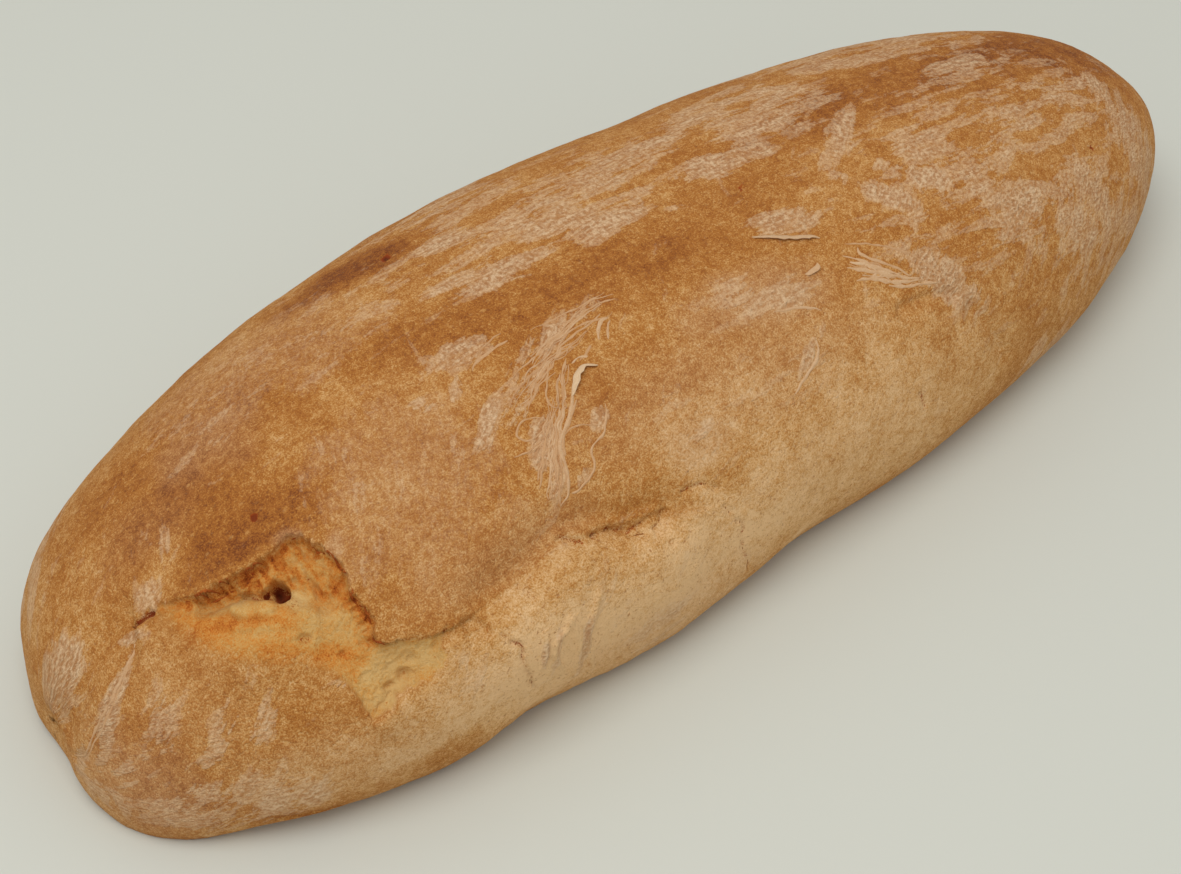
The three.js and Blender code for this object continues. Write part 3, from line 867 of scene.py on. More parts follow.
@dataclass
class CrustRecipe:
    """Forms the crust from the bare loaf and grades its finish."""

    loaf: BareLoaf = BareLoaf()
    burst: Burst = Burst()
    noise: GradientNoise = field(default_factory=GradientNoise)
    edge_jitter: float = 1.2
    rim_layers: Layers = ((4.2, 0.55), (1.6, 0.65))
    fray_layers: Layers = ((3.6, 1.0), (1.6, 0.7))
    film_layers: Layers = ((9.0, 1.0), (4.0, 0.5))
    tooth_layers: Layers = ((1.5, 1.0), (4.0, 0.6))
    lumps: Layers = ((46.0, 0.7), (17.0, 0.35), (6.0, 0.12), (2.6, 0.07))
    beat_shift: float = 70.0
    beat_size: float = 3.2
    # Painted shade in the blow hole, weaker towards its lit side
    hole_shade: float = 0.6
    hole_shade_loss: float = 0.4
    hole_lit: Span = (-155.0, -151.0)
    wrinkle: float = 0.35
    wrinkle_size: Triple = (4.0, 15.0, 15.0)
    crumb_lumps: Layers = ((4.0, 1.7), (1.9, 1.4))
    crumb_share: float = 0.4
    wall_share: float = 0.7
    pore_level: float = 0.3
    crag_height: float = 1.1
    crag_line: Span = (-1.8, 2.6)
    crag_size: Triple = (3.6, 1.5, 1.5)
    rib_depth: float = 2.6
    rib_size: Triple = (2.3, 7.0, 7.0)
    even_bake: float = 0.45
    broad_bake: float = 0.05
    broad_size: float = 24.0
    foot_bake: float = 0.12
    foot_height: float = 4.0
    # Browner higher up and paler lower down: partly the crown's deeper bake, partly painted shade that
    # evens out the stronger light on top
    crown_bake_and_shade: float = 0.07
    crown_span: Span = (30.0, 72.0)
    brink_fray: float = 1.4
    brink_size: float = 7.0
    brink_soft: float = 0.6
    skirt_pale: float = 0.15
    skirt_line: Span = (-8.0, 30.0)
    # Painted shade in the valley between the crust and the skirt
    valley_shade: float = 0.04
    valley_line: Span = (3.0, 4.0)
    rim_span: Span = (-180.0, -172.0)
    rim_end: Span = (-140.0, -132.0)
    left_span: Span = (-175.0, -169.0)
    left_end: Span = (-157.0, -148.0)
    tooth_span: Span = (-0.15, 0.45)
    rim_dark: float = 0.17
    left_dark: float = 0.15
    dark_line: Span = (-0.3, 0.8)
    dark_teeth: float = 0.5
    even_toast: float = 0.38
    fray_toast: float = 0.2
    wall_toast: float = 0.14
    streak_toast: float = 0.34
    streak_size: Triple = (1.3, 5.0, 5.0)
    rim_toast: float = 0.12
    toast_line: Span = (-0.6, 1.0)
    toast_teeth: float = 0.6
    shelf_pale: float = 0.08
    shelf_line: Span = (-4.5, 2.0)
    even_flour: float = 0.04

    def form(self, t: Array, angle: Array) -> CrustField:
        """Form crust points and grade their finish.

        Args:
            t: Place along, -1 to 1.
            angle: Angle round in radians.

        Returns:
            The crust field.
        """
        points, normals = self.loaf.point(t, angle), self.loaf.normal(t, angle)
        noise = self.noise
        ragged = noise.layers(points, self.fray_layers)
        beat = noise.at(points + self.beat_shift, self.beat_size)
        jitter = self.edge_jitter * noise.layers(points, self.rim_layers)
        seen = self.burst.survey(self.loaf, points, normals, jitter)
        height = self.burst.relief(seen)
        # Painted shade in the blow hole of the burst
        dark = (self.hole_shade - self.hole_shade_loss * smooth(points[:, 0], *self.hole_lit)) * seen.hole
        for swell in SWELLS:
            height += swell.relief(self.loaf, points)
        for crease in CREASES:
            rise, shade = crease.relief(self.loaf, points, normals, ragged, beat)
            height, dark = height + rise, np.maximum(dark, shade)
        for pit in PITS:
            rise, shade = pit.relief(self.loaf, points, ragged)
            height, dark = height + rise, np.maximum(dark, shade)
        height += noise.layers(points, self.lumps)
        height += self.wrinkle * seen.skirt * (1.0 - seen.above) * noise.at(points, self.wrinkle_size)
        torn = self.crumb_share * seen.crumb + self.wall_share * seen.wall
        for size, rise in self.crumb_lumps:
            height += rise * torn * (self.pore_level - np.abs(noise.at(points, size)))
        crags = ridge(seen.edge, self.crag_line) * seen.crumb
        height += self.crag_height * crags * noise.at(points, self.crag_size)
        height -= self.rib_depth * seen.wall * np.abs(noise.at(points, self.rib_size))
        formed = points + normals * height[:, None]
        formed[:, 2] = np.maximum(formed[:, 2], 0.0)
        return self.grade(formed, points, normals, seen, dark)

    def grade(self, formed: Array, points: Array, normals: Array, seen: BurstSurvey,
              dark: Array) -> CrustField:
        """Grade bake, crumb and flour.

        Args:
            formed: Points of the finished crust.
            points: The same points on the bare loaf.
            normals: Outward directions there.
            seen: Their survey in the burst.
            dark: Darkness of holes and cracks: painted shade, browned where the crust is torn.

        Returns:
            The crust field.
        """
        x, z, noise = points[:, 0], formed[:, 2], self.noise
        fray = noise.layers(points, self.film_layers)
        bake = self.even_bake + self.broad_bake * noise.at(points, self.broad_size)
        bake += self.foot_bake * smooth(-z, -self.foot_height, 0.0)
        # Partly deeper bake of the crown, partly painted shade on top against the stronger light there
        bake += self.crown_bake_and_shade * (smooth(z, *self.crown_span) - 0.5)
        brink = seen.edge + self.brink_fray * noise.at(points, self.brink_size)
        upper = smooth(brink, -self.brink_soft, self.brink_soft)
        start, width = self.skirt_line
        fading = bell(np.minimum(seen.edge - start, 0.0), width)
        bake -= self.skirt_pale * seen.skirt * (1.0 - upper) * fading
        # Painted shade in the valley above the skirt
        bake += self.valley_shade * seen.skirt * ridge(seen.edge, self.valley_line) * upper
        for stroke in BAKE:
            bake += stroke.cover(self.loaf, points, fray)
        teeth = smooth(noise.layers(formed, self.tooth_layers), *self.tooth_span)
        rim = fade_ends(seen.share) * smooth(x, *self.rim_span) * (1.0 - smooth(x, *self.rim_end))
        left = smooth(x, *self.left_span) * (1.0 - smooth(x, *self.left_end))
        scorch = (self.rim_dark + self.left_dark * left) * ridge(seen.edge, self.dark_line) * rim
        dark = np.maximum(dark, scorch * (1.0 - self.dark_teeth * (1.0 - teeth)))
        streaks = self.streak_toast * noise.at(formed, self.streak_size)
        toast = self.even_toast + self.fray_toast * fray + seen.wall * (self.wall_toast + streaks)
        toasted = ridge(seen.edge, self.toast_line) * (1.0 - self.toast_teeth * (1.0 - teeth))
        toast += self.rim_toast * toasted * rim
        toast -= self.shelf_pale * left * ridge(seen.edge, self.shelf_line) * rim
        for stroke in TOAST:
            toast += stroke.cover(self.loaf, points, fray)
        flour = {lay: np.zeros(len(points)) for lay in Lay}
        flour[Lay.ALONG] += self.even_flour
        for stroke in (*FLOUR, *UnseenDust().strokes()):
            cover = stroke.cover(self.loaf, points, fray)
            flour[stroke.lay] = np.maximum(flour[stroke.lay], cover)
        return CrustField(formed, normals, bake, seen.crumb, toast, np.clip(dark, 0, 1), flour)


class NodeBuilder:
    """Short calls for laying out one node tree."""

    # Places of the factor, the two colours and the result among a mix node's sockets
    mix_inputs = (0, 6, 7)
    mix_result = 2

    def __init__(self, tree: bpy.types.NodeTree) -> None:
        """Keep the tree."""
        self.tree = tree

    def node(self, kind: str, **settings: object) -> bpy.types.Node:
        """Add a node and set its properties."""
        made = self.tree.nodes.new(kind)
        for name, value in settings.items():
            setattr(made, name, value)
        return made

    def feed(self, socket: Socket, value: object) -> None:
        """Link a socket, or set its own value."""
        if isinstance(value, Socket):
            self.tree.links.new(value, socket)
        else:
            socket.default_value = value

    def math(self, operation: str, *values: object, clamp: bool = False) -> Socket:
        """Add a math node.

        Args:
            operation: Blender's name of the operation.
            values: The values or sockets that it works on, in order.
            clamp: Whether the result stays between 0 and 1.

        Returns:
            The result's socket.
        """
        made = self.node("ShaderNodeMath", operation=operation, use_clamp=clamp)
        for socket, value in zip(made.inputs, values):
            self.feed(socket, value)
        return made.outputs[0]

    def times(self, first: object, second: object) -> Socket:
        """Multiply two values."""
        return self.math("MULTIPLY", first, second)

    def scale(self, value: object, factor: object, offset: object, clamp: bool = False) -> Socket:
        """Multiply a value by a factor and add an offset."""
        return self.math("MULTIPLY_ADD", value, factor, offset, clamp=clamp)

    def blend(self, share: object, first: object, second: object) -> Socket:
        """Mix two colours.

        Args:
            share: Share of the second colour.
            first: First colour or socket.
            second: Second colour or socket.

        Returns:
            The colour's socket.
        """
        made = self.node("ShaderNodeMix", data_type="RGBA", clamp_factor=True)
        for index, value in zip(self.mix_inputs, (share, first, second)):
            self.feed(made.inputs[index], value)
        return made.outputs[self.mix_result]

    def place(self, group: bpy.types.NodeTree, **values: object) -> bpy.types.Node:
        """Place a group and feed its inputs."""
        made = self.node("ShaderNodeGroup", node_tree=group)
        for name, value in values.items():
            self.feed(made.inputs[name], value)
        return made

    def space(self) -> Socket:
        """Read the place on the piece, in metres."""
        return self.node("ShaderNodeTexCoord").outputs["Object"]

    def bump(self, shader: bpy.types.Node, height: Socket, distance: float) -> None:
        """Raise a shader's surface by a height."""
        made = self.node("ShaderNodeBump")
        made.inputs["Distance"].default_value = distance
        self.feed(made.inputs["Height"], height)
        self.feed(shader.inputs["Normal"], made.outputs["Normal"])

    def grade(self, value: object, low: float, high: float) -> Socket:
        """Grade a value smoothly from 0 at low to 1 at high."""
        made = self.node("ShaderNodeMapRange", interpolation_type="SMOOTHSTEP")
        self.feed(made.inputs["Value"], value)
        made.inputs["From Min"].default_value = low
        made.inputs["From Max"].default_value = high
        return made.outputs["Result"]

    def attribute(self, name: str, output: str = "Fac") -> Socket:
        """Read a mesh attribute."""
        return self.node("ShaderNodeAttribute", attribute_name=name).outputs[output]

    def stretch(self, vector: Socket, along: float) -> Socket:
        """Stretch coordinates along their first axis."""
        made = self.node("ShaderNodeVectorMath", operation="MULTIPLY")
        self.feed(made.inputs[0], vector)
        made.inputs[1].default_value = (along, 1.0, 1.0)
        return made.outputs[0]

    def noise(self, vector: Socket, scale: float, detail: float, roughness: float,
              output: str = "Fac") -> Socket:
        """Add a noise texture.

        Args:
            vector: Coordinates in metres.
            scale: Lumps to the metre.
            detail: Number of finer layers.
            roughness: Strength of the finer layers.
            output: Blender's name of the output.

        Returns:
            The noise's socket, about 0 to 1.
        """
        made = self.node("ShaderNodeTexNoise")
        self.feed(made.inputs["Vector"], vector)
        made.inputs["Scale"].default_value = scale
        made.inputs["Detail"].default_value = detail
        made.inputs["Roughness"].default_value = roughness
        return made.outputs[output]

    def ramp(self, value: Socket, stops: Stops) -> Socket:
        """Colour a value by a ramp of stops.

        Args:
            value: The value's socket.
            stops: Position and colour of each stop, in order.

        Returns:
            The colour's socket.
        """
        made = self.node("ShaderNodeValToRGB")
        elements = made.color_ramp.elements
        while len(elements) < len(stops):
            elements.new(1.0)
        for element, (position, colour) in zip(elements, stops):
            element.position = position
            element.color = colour
        self.feed(made.inputs["Fac"], value)
        return made.outputs["Color"]


def new_group(name: str, vectors: Sequence[str], values: Sequence[str],
              outputs: Sequence[str]) -> tuple[NodeBuilder, bpy.types.Node, bpy.types.Node]:
    """Start a shader node group.

    Args:
        name: The group's name.
        vectors: Names of the inputs that are vectors.
        values: Names of the inputs that are plain values.
        outputs: Names of the outputs, all plain values.

    Returns:
        The builder, the group's input node and its output node.
    """
    group = bpy.data.node_groups.new(name, "ShaderNodeTree")
    for labels, way, kind in ((vectors, "INPUT", "NodeSocketVector"), (values, "INPUT", "NodeSocketFloat"),
                              (outputs, "OUTPUT", "NodeSocketFloat")):
        for label in labels:
            group.interface.new_socket(label, in_out=way, socket_type=kind)
    builder = NodeBuilder(group)
    return builder, builder.node("NodeGroupInput"), builder.node("NodeGroupOutput")


def new_material(name: str, roughness: float, specular: float) -> tuple[
        bpy.types.Material, NodeBuilder, bpy.types.Node]:
    """Start a material with a plain shader.

    Args:
        name: The material's name.
        roughness: Roughness of the surface.
        specular: Strength of the shine.

    Returns:
        The material, its builder and its shader node.
    """
    material = bpy.data.materials.new(name)
    material.use_nodes = True
    shader = material.node_tree.nodes["Principled BSDF"]
    shader.inputs["Roughness"].default_value = roughness
    shader.inputs["Specular IOR Level"].default_value = specular
    return material, NodeBuilder(material.node_tree), shader


@dataclass(frozen=True)
class CrustGrain:
    """Fine grain of the crust: mottle, pale blisters, dark specks, brown pores and a height."""

    name: str = "crust_grain"
    broad: NoiseSize = (80.0, 3.0, 0.55)
    middle: NoiseSize = (400.0, 3.0, 0.6)
    fine: NoiseSize = (1150.0, 3.0, 0.75)
    dust: NoiseSize = (2300.0, 1.0, 0.6)
    weights: tuple[float, float, float, float] = (0.28, 0.46, 0.54, 0.42)
    pores: NoiseSize = (950.0, 2.0, 0.6)
    pore_range: Span = (0.42, 0.27)
    specks: NoiseSize = (560.0, 2.0, 0.5)
    speck_range: Span = (0.66, 0.78)
    cell_scale: float = 520.0
    cell_stretch: float = 0.55
    dot_edge: Span = (0.1, 0.32)
    dot_choice: Span = (0.4, 0.9)
    blister_range: Span = (0.6, 0.76)

    def build(self) -> bpy.types.NodeTree:
        """Lay out the group.

        Returns:
            The group, with one output for each part of the grain.
        """
        builder, given, result = new_group(
            self.name, ("Vector",), (), ("Mottle", "Blisters", "Specks", "Pores", "Height"))
        vector = given.outputs["Vector"]
        sizes = (self.broad, self.middle, self.fine, self.dust)
        patterns = [builder.noise(vector, *size) for size in sizes]
        mottle = NOISE_MEAN
        for pattern, weight in zip(patterns, self.weights):
            mottle = builder.scale(builder.math("SUBTRACT", pattern, NOISE_MEAN), weight, mottle)
        _, middle, fine, _ = patterns
        cells = builder.node("ShaderNodeTexVoronoi")
        builder.feed(cells.inputs["Vector"], builder.stretch(vector, self.cell_stretch))
        cells.inputs["Scale"].default_value = self.cell_scale
        chosen = builder.node("ShaderNodeSeparateColor")
        builder.feed(chosen.inputs[0], cells.outputs["Color"])
        dot = builder.math("SUBTRACT", 1.0, builder.grade(cells.outputs["Distance"], *self.dot_edge))
        dot = builder.times(dot, builder.grade(chosen.outputs[0], *self.dot_choice))
        for name, value in (
                ("Mottle", mottle),
                ("Blisters", builder.math("MAXIMUM", dot, builder.grade(fine, *self.blister_range))),
                ("Specks", builder.grade(builder.noise(vector, *self.specks), *self.speck_range)),
                ("Pores", builder.grade(builder.noise(vector, *self.pores), *self.pore_range)),
                ("Height", builder.math("ADD", fine, middle))):
            builder.feed(result.inputs[name], value)
        return builder.tree


@dataclass(frozen=True)
class FlourFilm:
    """Flour film that the stretching dough has streaked and torn, and a veil that it left whole."""

    name: str = "flour_film"
    bend: float = 0.007
    stretch: float = 0.22
    windows: NoiseSize = (210.0, 3.0, 0.5)
    threads: NoiseSize = (1000.0, 2.0, 0.6)
    film_reach: Triple = (2.0, 0.4, 0.35)
    veil_reach: Triple = (0.9, 0.4, 0.35)
    stains: Triple = (0.5, 1.8, 2.6)
    crisp_edge: Span = (0.38, 0.48)
    soft_edge: Span = (0.2, 0.75)
    soft_share: float = 0.3
    inside: Span = (0.45, 1.05)
    inside_share: float = 0.4
    edge_cover: float = 0.65
    laid: Span = (0.15, 0.55)
    laid_share: float = 0.55
    border: float = 0.22
    border_start: Span = (0.38, 0.5)
    border_end: Span = (0.5, 0.72)

    def cover(self, builder: NodeBuilder, amount: Socket, level: Socket) -> Socket:
        """Grade a film's cover.

        Args:
            builder: Builder of the group.
            amount: How much film was laid.
            level: The same amount, broken up by the film's pattern.

        Returns:
            The cover, crisp at the film's edge and thicker inside it.
        """
        thick = builder.scale(builder.grade(level, *self.inside), self.inside_share, self.edge_cover)
        full = builder.scale(builder.grade(amount, *self.laid), self.laid_share, 1.0 - self.laid_share)
        soft = builder.times(builder.grade(level, *self.soft_edge), self.soft_share)
        edge = builder.scale(builder.grade(level, *self.crisp_edge), 1.0 - self.soft_share, soft)
        return builder.times(edge, builder.times(thick, full))

    def build(self) -> bpy.types.NodeTree:
        """Lay out the group.

        Returns:
            The group, with the cover of the torn film and of the veil, and the tone of their threads.
        """
        builder, given, result = new_group(
            self.name, ("Vector", "Bend"), ("Fray", "Amount", "Veil", "Turn"), ("Cover", "Veil", "Tone"))
        turned = builder.node("ShaderNodeVectorRotate", rotation_type="Z_AXIS")
        builder.feed(turned.inputs["Vector"], given.outputs["Vector"])
        builder.feed(turned.inputs["Angle"], given.outputs["Turn"])
        shifted = builder.node("ShaderNodeVectorMath", operation="MULTIPLY_ADD")
        shift = (given.outputs["Bend"], (self.bend,) * 3, turned.outputs[0])
        for socket, value in zip(shifted.inputs, shift):
            builder.feed(socket, value)
        streaked = builder.stretch(shifted.outputs[0], self.stretch)
        patterns = (builder.noise(streaked, *self.windows), builder.noise(streaked, *self.threads),
                    given.outputs["Fray"])
        amount, whole = given.outputs["Amount"], given.outputs["Veil"]
        level, veil, tone = amount, whole, NOISE_MEAN
        for index, pattern in enumerate(patterns):
            swing = builder.math("SUBTRACT", pattern, NOISE_MEAN)
            level = builder.scale(swing, self.film_reach[index], level)
            veil = builder.scale(swing, self.veil_reach[index], veil)
            tone = builder.scale(swing, self.stains[index], tone)
        border = builder.scale(builder.grade(level, *self.border_end), -self.border, self.border)
        tone = builder.scale(builder.grade(level, *self.border_start), border, tone)
        builder.feed(result.inputs["Cover"], self.cover(builder, amount, level))
        builder.feed(result.inputs["Veil"], self.cover(builder, whole, veil))
        builder.feed(result.inputs["Tone"], tone)
        return builder.tree


@dataclass(frozen=True)
class CrustFinish:
    """Baked crust with bared crumb, dark torn edges, painted shade in its holes and cracks, and streaked
    flour films.
    """

    name: str = "baked_crust"
    roughness: float = 0.85
    specular: float = 0.12
    bump_height: float = 0.0006
    film_bump: float = 0.5
    film_share: float = 0.8
    film_mottle: float = -1.2
    haze_tone: float = 0.42
    haze_mottle: float = -1.3
    bake_swing: Span = (0.3, 1.2)
    bend: NoiseSize = (45.0, 1.0, 0.5)
    fray: NoiseSize = (800.0, 2.0, 0.65)
    toast_mottle: float = 1.1
    crumb_mottle: float = 0.6
    crumb_range: Span = (0.1, 0.85)
    dark_weight: float = 1.6
    dark_mottle: float = 1.3
    dark_range: Span = (0.3, 0.62)
    dark_start: Span = (0.0, 0.1)
    blister_colour: Colour = linear(222, 172, 106)
    blister_share: float = 0.36
    speck_colour: Colour = linear(120, 62, 28)
    speck_share: float = 0.28
    pore_colour: Colour = linear(158, 98, 46)
    pore_share: float = 0.62
    # Colours of the dark mix: scorch of the torn rim and thin cracks at low values, painted shade deep in
    # holes at high values
    dark_stops: Stops = (
        (0.12, linear(178, 96, 38)), (0.32, linear(150, 64, 24)), (0.65, linear(104, 50, 27)))
    bake_stops: Stops = (
        (0.0, linear(231, 190, 139)),
        (0.3, linear(205, 154, 93)),
        (0.5, linear(182, 121, 57)),
        (0.7, linear(162, 98, 42)),
        (0.95, linear(122, 66, 33)))
    crumb_stops: Stops = (
        (0.02, linear(216, 178, 116)),
        (0.3, linear(210, 160, 90)),
        (0.55, linear(208, 135, 57)),
        (0.78, linear(182, 98, 35)),
        (1.0, linear(118, 58, 24)))
    film_stops: Stops = (
        (0.15, linear(184, 136, 94)),
        (0.5, linear(202, 160, 119)),
        (0.85, linear(226, 192, 152)))
    veil_share: float = 0.27
    lays: tuple[tuple[Lay, float], ...] = ((Lay.ALONG, 0.0), (Lay.ACROSS, -62.0), (Lay.SLANT, -30.0))

    def build(self, grain: bpy.types.NodeTree, film: bpy.types.NodeTree) -> bpy.types.Material:
        """Lay out the material.

        Args:
            grain: The crust grain group.
            film: The flour film group.

        Returns:
            The material.
        """
        material, builder, shader = new_material(self.name, self.roughness, self.specular)
        space = builder.space()
        flat = builder.attribute("flat_place", "Vector")
        grained = builder.place(grain, Vector=space).outputs
        mottle = builder.math("SUBTRACT", grained["Mottle"], NOISE_MEAN)
        baked = builder.attribute("bake")
        swing = builder.scale(baked, *self.bake_swing)
        colour = builder.ramp(builder.scale(mottle, swing, baked), self.bake_stops)
        for name, share, tint in (("Pores", self.pore_share, self.pore_colour),
                                  ("Blisters", self.blister_share, self.blister_colour),
                                  ("Specks", self.speck_share, self.speck_colour)):
            colour = builder.blend(builder.times(grained[name], share), colour, tint)
        powder = builder.scale(mottle, self.film_mottle, self.film_share, clamp=True)
        haze = builder.times(builder.attribute(Lay.HAZE.value), powder)
        grainy = builder.scale(mottle, self.haze_mottle, self.haze_tone)
        colour = builder.blend(haze, colour, builder.ramp(grainy, self.film_stops))
        bend = builder.noise(flat, *self.bend, output="Color")
        fray = builder.noise(flat, *self.fray)
        laid = {lay: builder.place(
            film, Vector=space if lay is Lay.ALONG else flat, Bend=bend, Fray=fray,
            Amount=builder.attribute(lay.value), Turn=math.radians(turn)) for lay, turn in self.lays}
        veiled = laid[Lay.ACROSS]
        builder.feed(veiled.inputs["Veil"], builder.attribute(Lay.VEIL.value))
        covers = [(builder.times(veiled.outputs["Veil"], self.veil_share), veiled.outputs["Tone"])]
        covers += [(filmed.outputs["Cover"], filmed.outputs["Tone"]) for filmed in laid.values()]
        for cover, tone in covers:
            dusted = builder.ramp(tone, self.film_stops)
            colour = builder.blend(builder.times(cover, powder), colour, dusted)
        wrinkled = 0.0
        for cover, tone in covers[1:]:
            wrinkled = builder.math("MAXIMUM", wrinkled, builder.times(cover, tone))
        toast = builder.scale(mottle, self.toast_mottle, builder.attribute("toast"))
        bared = builder.scale(mottle, self.crumb_mottle, builder.attribute("crumb"))
        colour = builder.blend(builder.grade(bared, *self.crumb_range), colour,
                               builder.ramp(toast, self.crumb_stops))
        # Mix in the dark: scorch on the torn rim and painted shade in holes, pits and cracks
        dark = builder.attribute("dark")
        flecks = builder.scale(mottle, self.dark_mottle, builder.times(dark, self.dark_weight))
        scorch_and_shade = builder.grade(flecks, *self.dark_range)
        scorch_and_shade = builder.times(scorch_and_shade, builder.grade(dark, *self.dark_start))
        colour = builder.blend(scorch_and_shade, colour, builder.ramp(dark, self.dark_stops))
        builder.feed(shader.inputs["Base Color"], colour)
        builder.bump(shader, builder.scale(wrinkled, self.film_bump, grained["Height"]), self.bump_height)
        return material


@dataclass(frozen=True)
class SkinFinish:
    """Dry pale skin of lifted strands and flakes."""

    name: str = "dry_skin"
    roughness: float = 0.75
    specular: float = 0.25
    bump_height: float = 0.0003
    skin_colour: Colour = linear(196, 150, 104)
    pale_colour: Colour = linear(224, 194, 156)

    def build(self, grain: bpy.types.NodeTree) -> bpy.types.Material:
        """Lay out the material.

        Args:
            grain: The crust grain group.

        Returns:
            The material.
        """
        material, builder, shader = new_material(self.name, self.roughness, self.specular)
        grained = builder.place(grain, Vector=builder.space()).outputs
        mottle = builder.math("SUBTRACT", grained["Mottle"], NOISE_MEAN)
        pale = builder.math("ADD", builder.attribute("pale"), mottle, clamp=True)
        builder.feed(shader.inputs["Base Color"], builder.blend(pale, self.skin_colour, self.pale_colour))
        builder.bump(shader, grained["Height"], self.bump_height)
        return material


def add_mesh(name: str, points: Array, faces: list[tuple[int, ...]],
             material: bpy.types.Material) -> bpy.types.Object:
    """Make a smooth mesh object.

    Args:
        name: The piece's name.
        points: Points in metres, one per row.
        faces: Corner numbers of each face.
        material: The finish.

    Returns:
        The object, linked into the scene.
    """
    mesh = bpy.data.meshes.new(name)
    mesh.from_pydata(points.tolist(), [], faces)
    mesh.polygons.foreach_set("use_smooth", [True] * len(mesh.polygons))
    mesh.materials.append(material)
    mesh.update()
    piece = bpy.data.objects.new(name, mesh)
    bpy.context.scene.collection.objects.link(piece)
    return piece


@dataclass(frozen=True)
class FinePatch:
    """Part of the crust with a finer grid."""

    reach: Span
    girth: Span
    split: int


@dataclass
class CrustGrid:
    """Grid of places over the loaf with finer patches, closed at both tips."""

    along: Array
    girths: Array
    patches: Sequence[FinePatch]
    half_length: float
    places: list[tuple[float, float]] = field(default_factory=list)
    faces: list[tuple[int, ...]] = field(default_factory=list)
    halfway: list[tuple[int, int, int, float]] = field(default_factory=list)
    between: dict[tuple[int, int], list[int]] = field(default_factory=dict)

    def add(self, t: float, degrees: float) -> int:
        """Add a place and give its number."""
        self.places.append((t, degrees))
        return len(self.places) - 1

    def blocks(self) -> list[tuple[int, int, int, int, int]]:
        """Find the rows and columns that each patch covers."""
        x = self.along * self.half_length
        return [(*np.searchsorted(x, patch.reach), *np.searchsorted(self.girths, patch.girth),
                 patch.split) for patch in self.patches]

    def build(self, tip: float) -> None:
        """Lay all places and faces.

        Args:
            tip: Place along of the far tip.
        """
        rows, columns = len(self.along), len(self.girths)
        inside = np.zeros((rows, columns), bool)
        covered = np.zeros((rows, columns), bool)
        for i0, i1, j0, j1, _ in self.blocks():
            inside[i0 + 1:i1, j0 + 1:j1] = True
            covered[i0:i1, j0:j1] = True
        first = self.add(-tip, 90.0)
        number = np.full((rows, columns), -1)
        for i, j in zip(*np.nonzero(~inside)):
            number[i, j] = self.add(self.along[i], self.girths[j])
        last = self.add(tip, 90.0)
        for block in self.blocks():
            self.add_patch(number, block)
        for j in range(columns):
            after = (j + 1) % columns
            self.faces.append((first, int(number[0, j]), int(number[0, after])))
            self.faces.append((int(number[-1, j]), last, int(number[-1, after])))
        for i, j in zip(*np.nonzero(~covered[:-1])):
            after = (j + 1) % columns
            corners = [int(number[c]) for c in ((i, j), (i + 1, j), (i + 1, after), (i, after))]
            face: list[int] = []
            for start, end in zip(corners, corners[1:] + corners[:1]):
                face += [start, *self.between.get((start, end), ())]
            self.faces.append(tuple(face))

    def add_patch(self, number: Array, block: tuple[int, int, int, int, int]) -> None:
        """Lay one finer patch and tie its rim to the coarse grid.

        Args:
            number: Numbers of the coarse places.
            block: First and last row, first and last column, and the split.
        """
        i0, i1, j0, j1, split = block
        fine_i = np.arange((i1 - i0) * split + 1) / split + i0
        fine_j = np.arange((j1 - j0) * split + 1) / split + j0
        t = np.interp(fine_i, np.arange(len(self.along)), self.along)
        degrees = np.interp(fine_j, np.arange(len(self.girths)), self.girths)
        local = np.full((len(fine_i), len(fine_j)), -1)
        for a, b in product(range(len(fine_i)), range(len(fine_j))):
            rim = a in (0, len(fine_i) - 1) or b in (0, len(fine_j) - 1)
            if rim and a % split == 0 and b % split == 0:
                local[a, b] = number[i0 + a // split, j0 + b // split]
            else:
                local[a, b] = self.add(t[a], degrees[b])
        for rim in (local[0], local[-1], local[:, 0], local[:, -1]):
            for k in range(0, len(rim) - 1, split):
                start, end = int(rim[k]), int(rim[k + split])
                middle = [int(n) for n in rim[k + 1:k + split]]
                self.between[(start, end)] = middle
                self.between[(end, start)] = middle[::-1]
                self.halfway += [(n, start, end, (m + 1) / split) for m, n in enumerate(middle)]
        quads = np.stack((local[:-1, :-1], local[1:, :-1], local[1:, 1:], local[:-1, 1:]), -1)
        self.faces += [tuple(q) for q in quads.reshape(-1, 4).tolist()]

    def tie(self, values: Array) -> None:
        """Draw the rims of the patches straight between the coarse places."""
        middle, start, end, share = (np.array(column) for column in zip(*self.halfway))
        share = share.reshape((-1,) + (1,) * (values.ndim - 1))
        values[middle] = values[start] * (1 - share) + values[end] * share


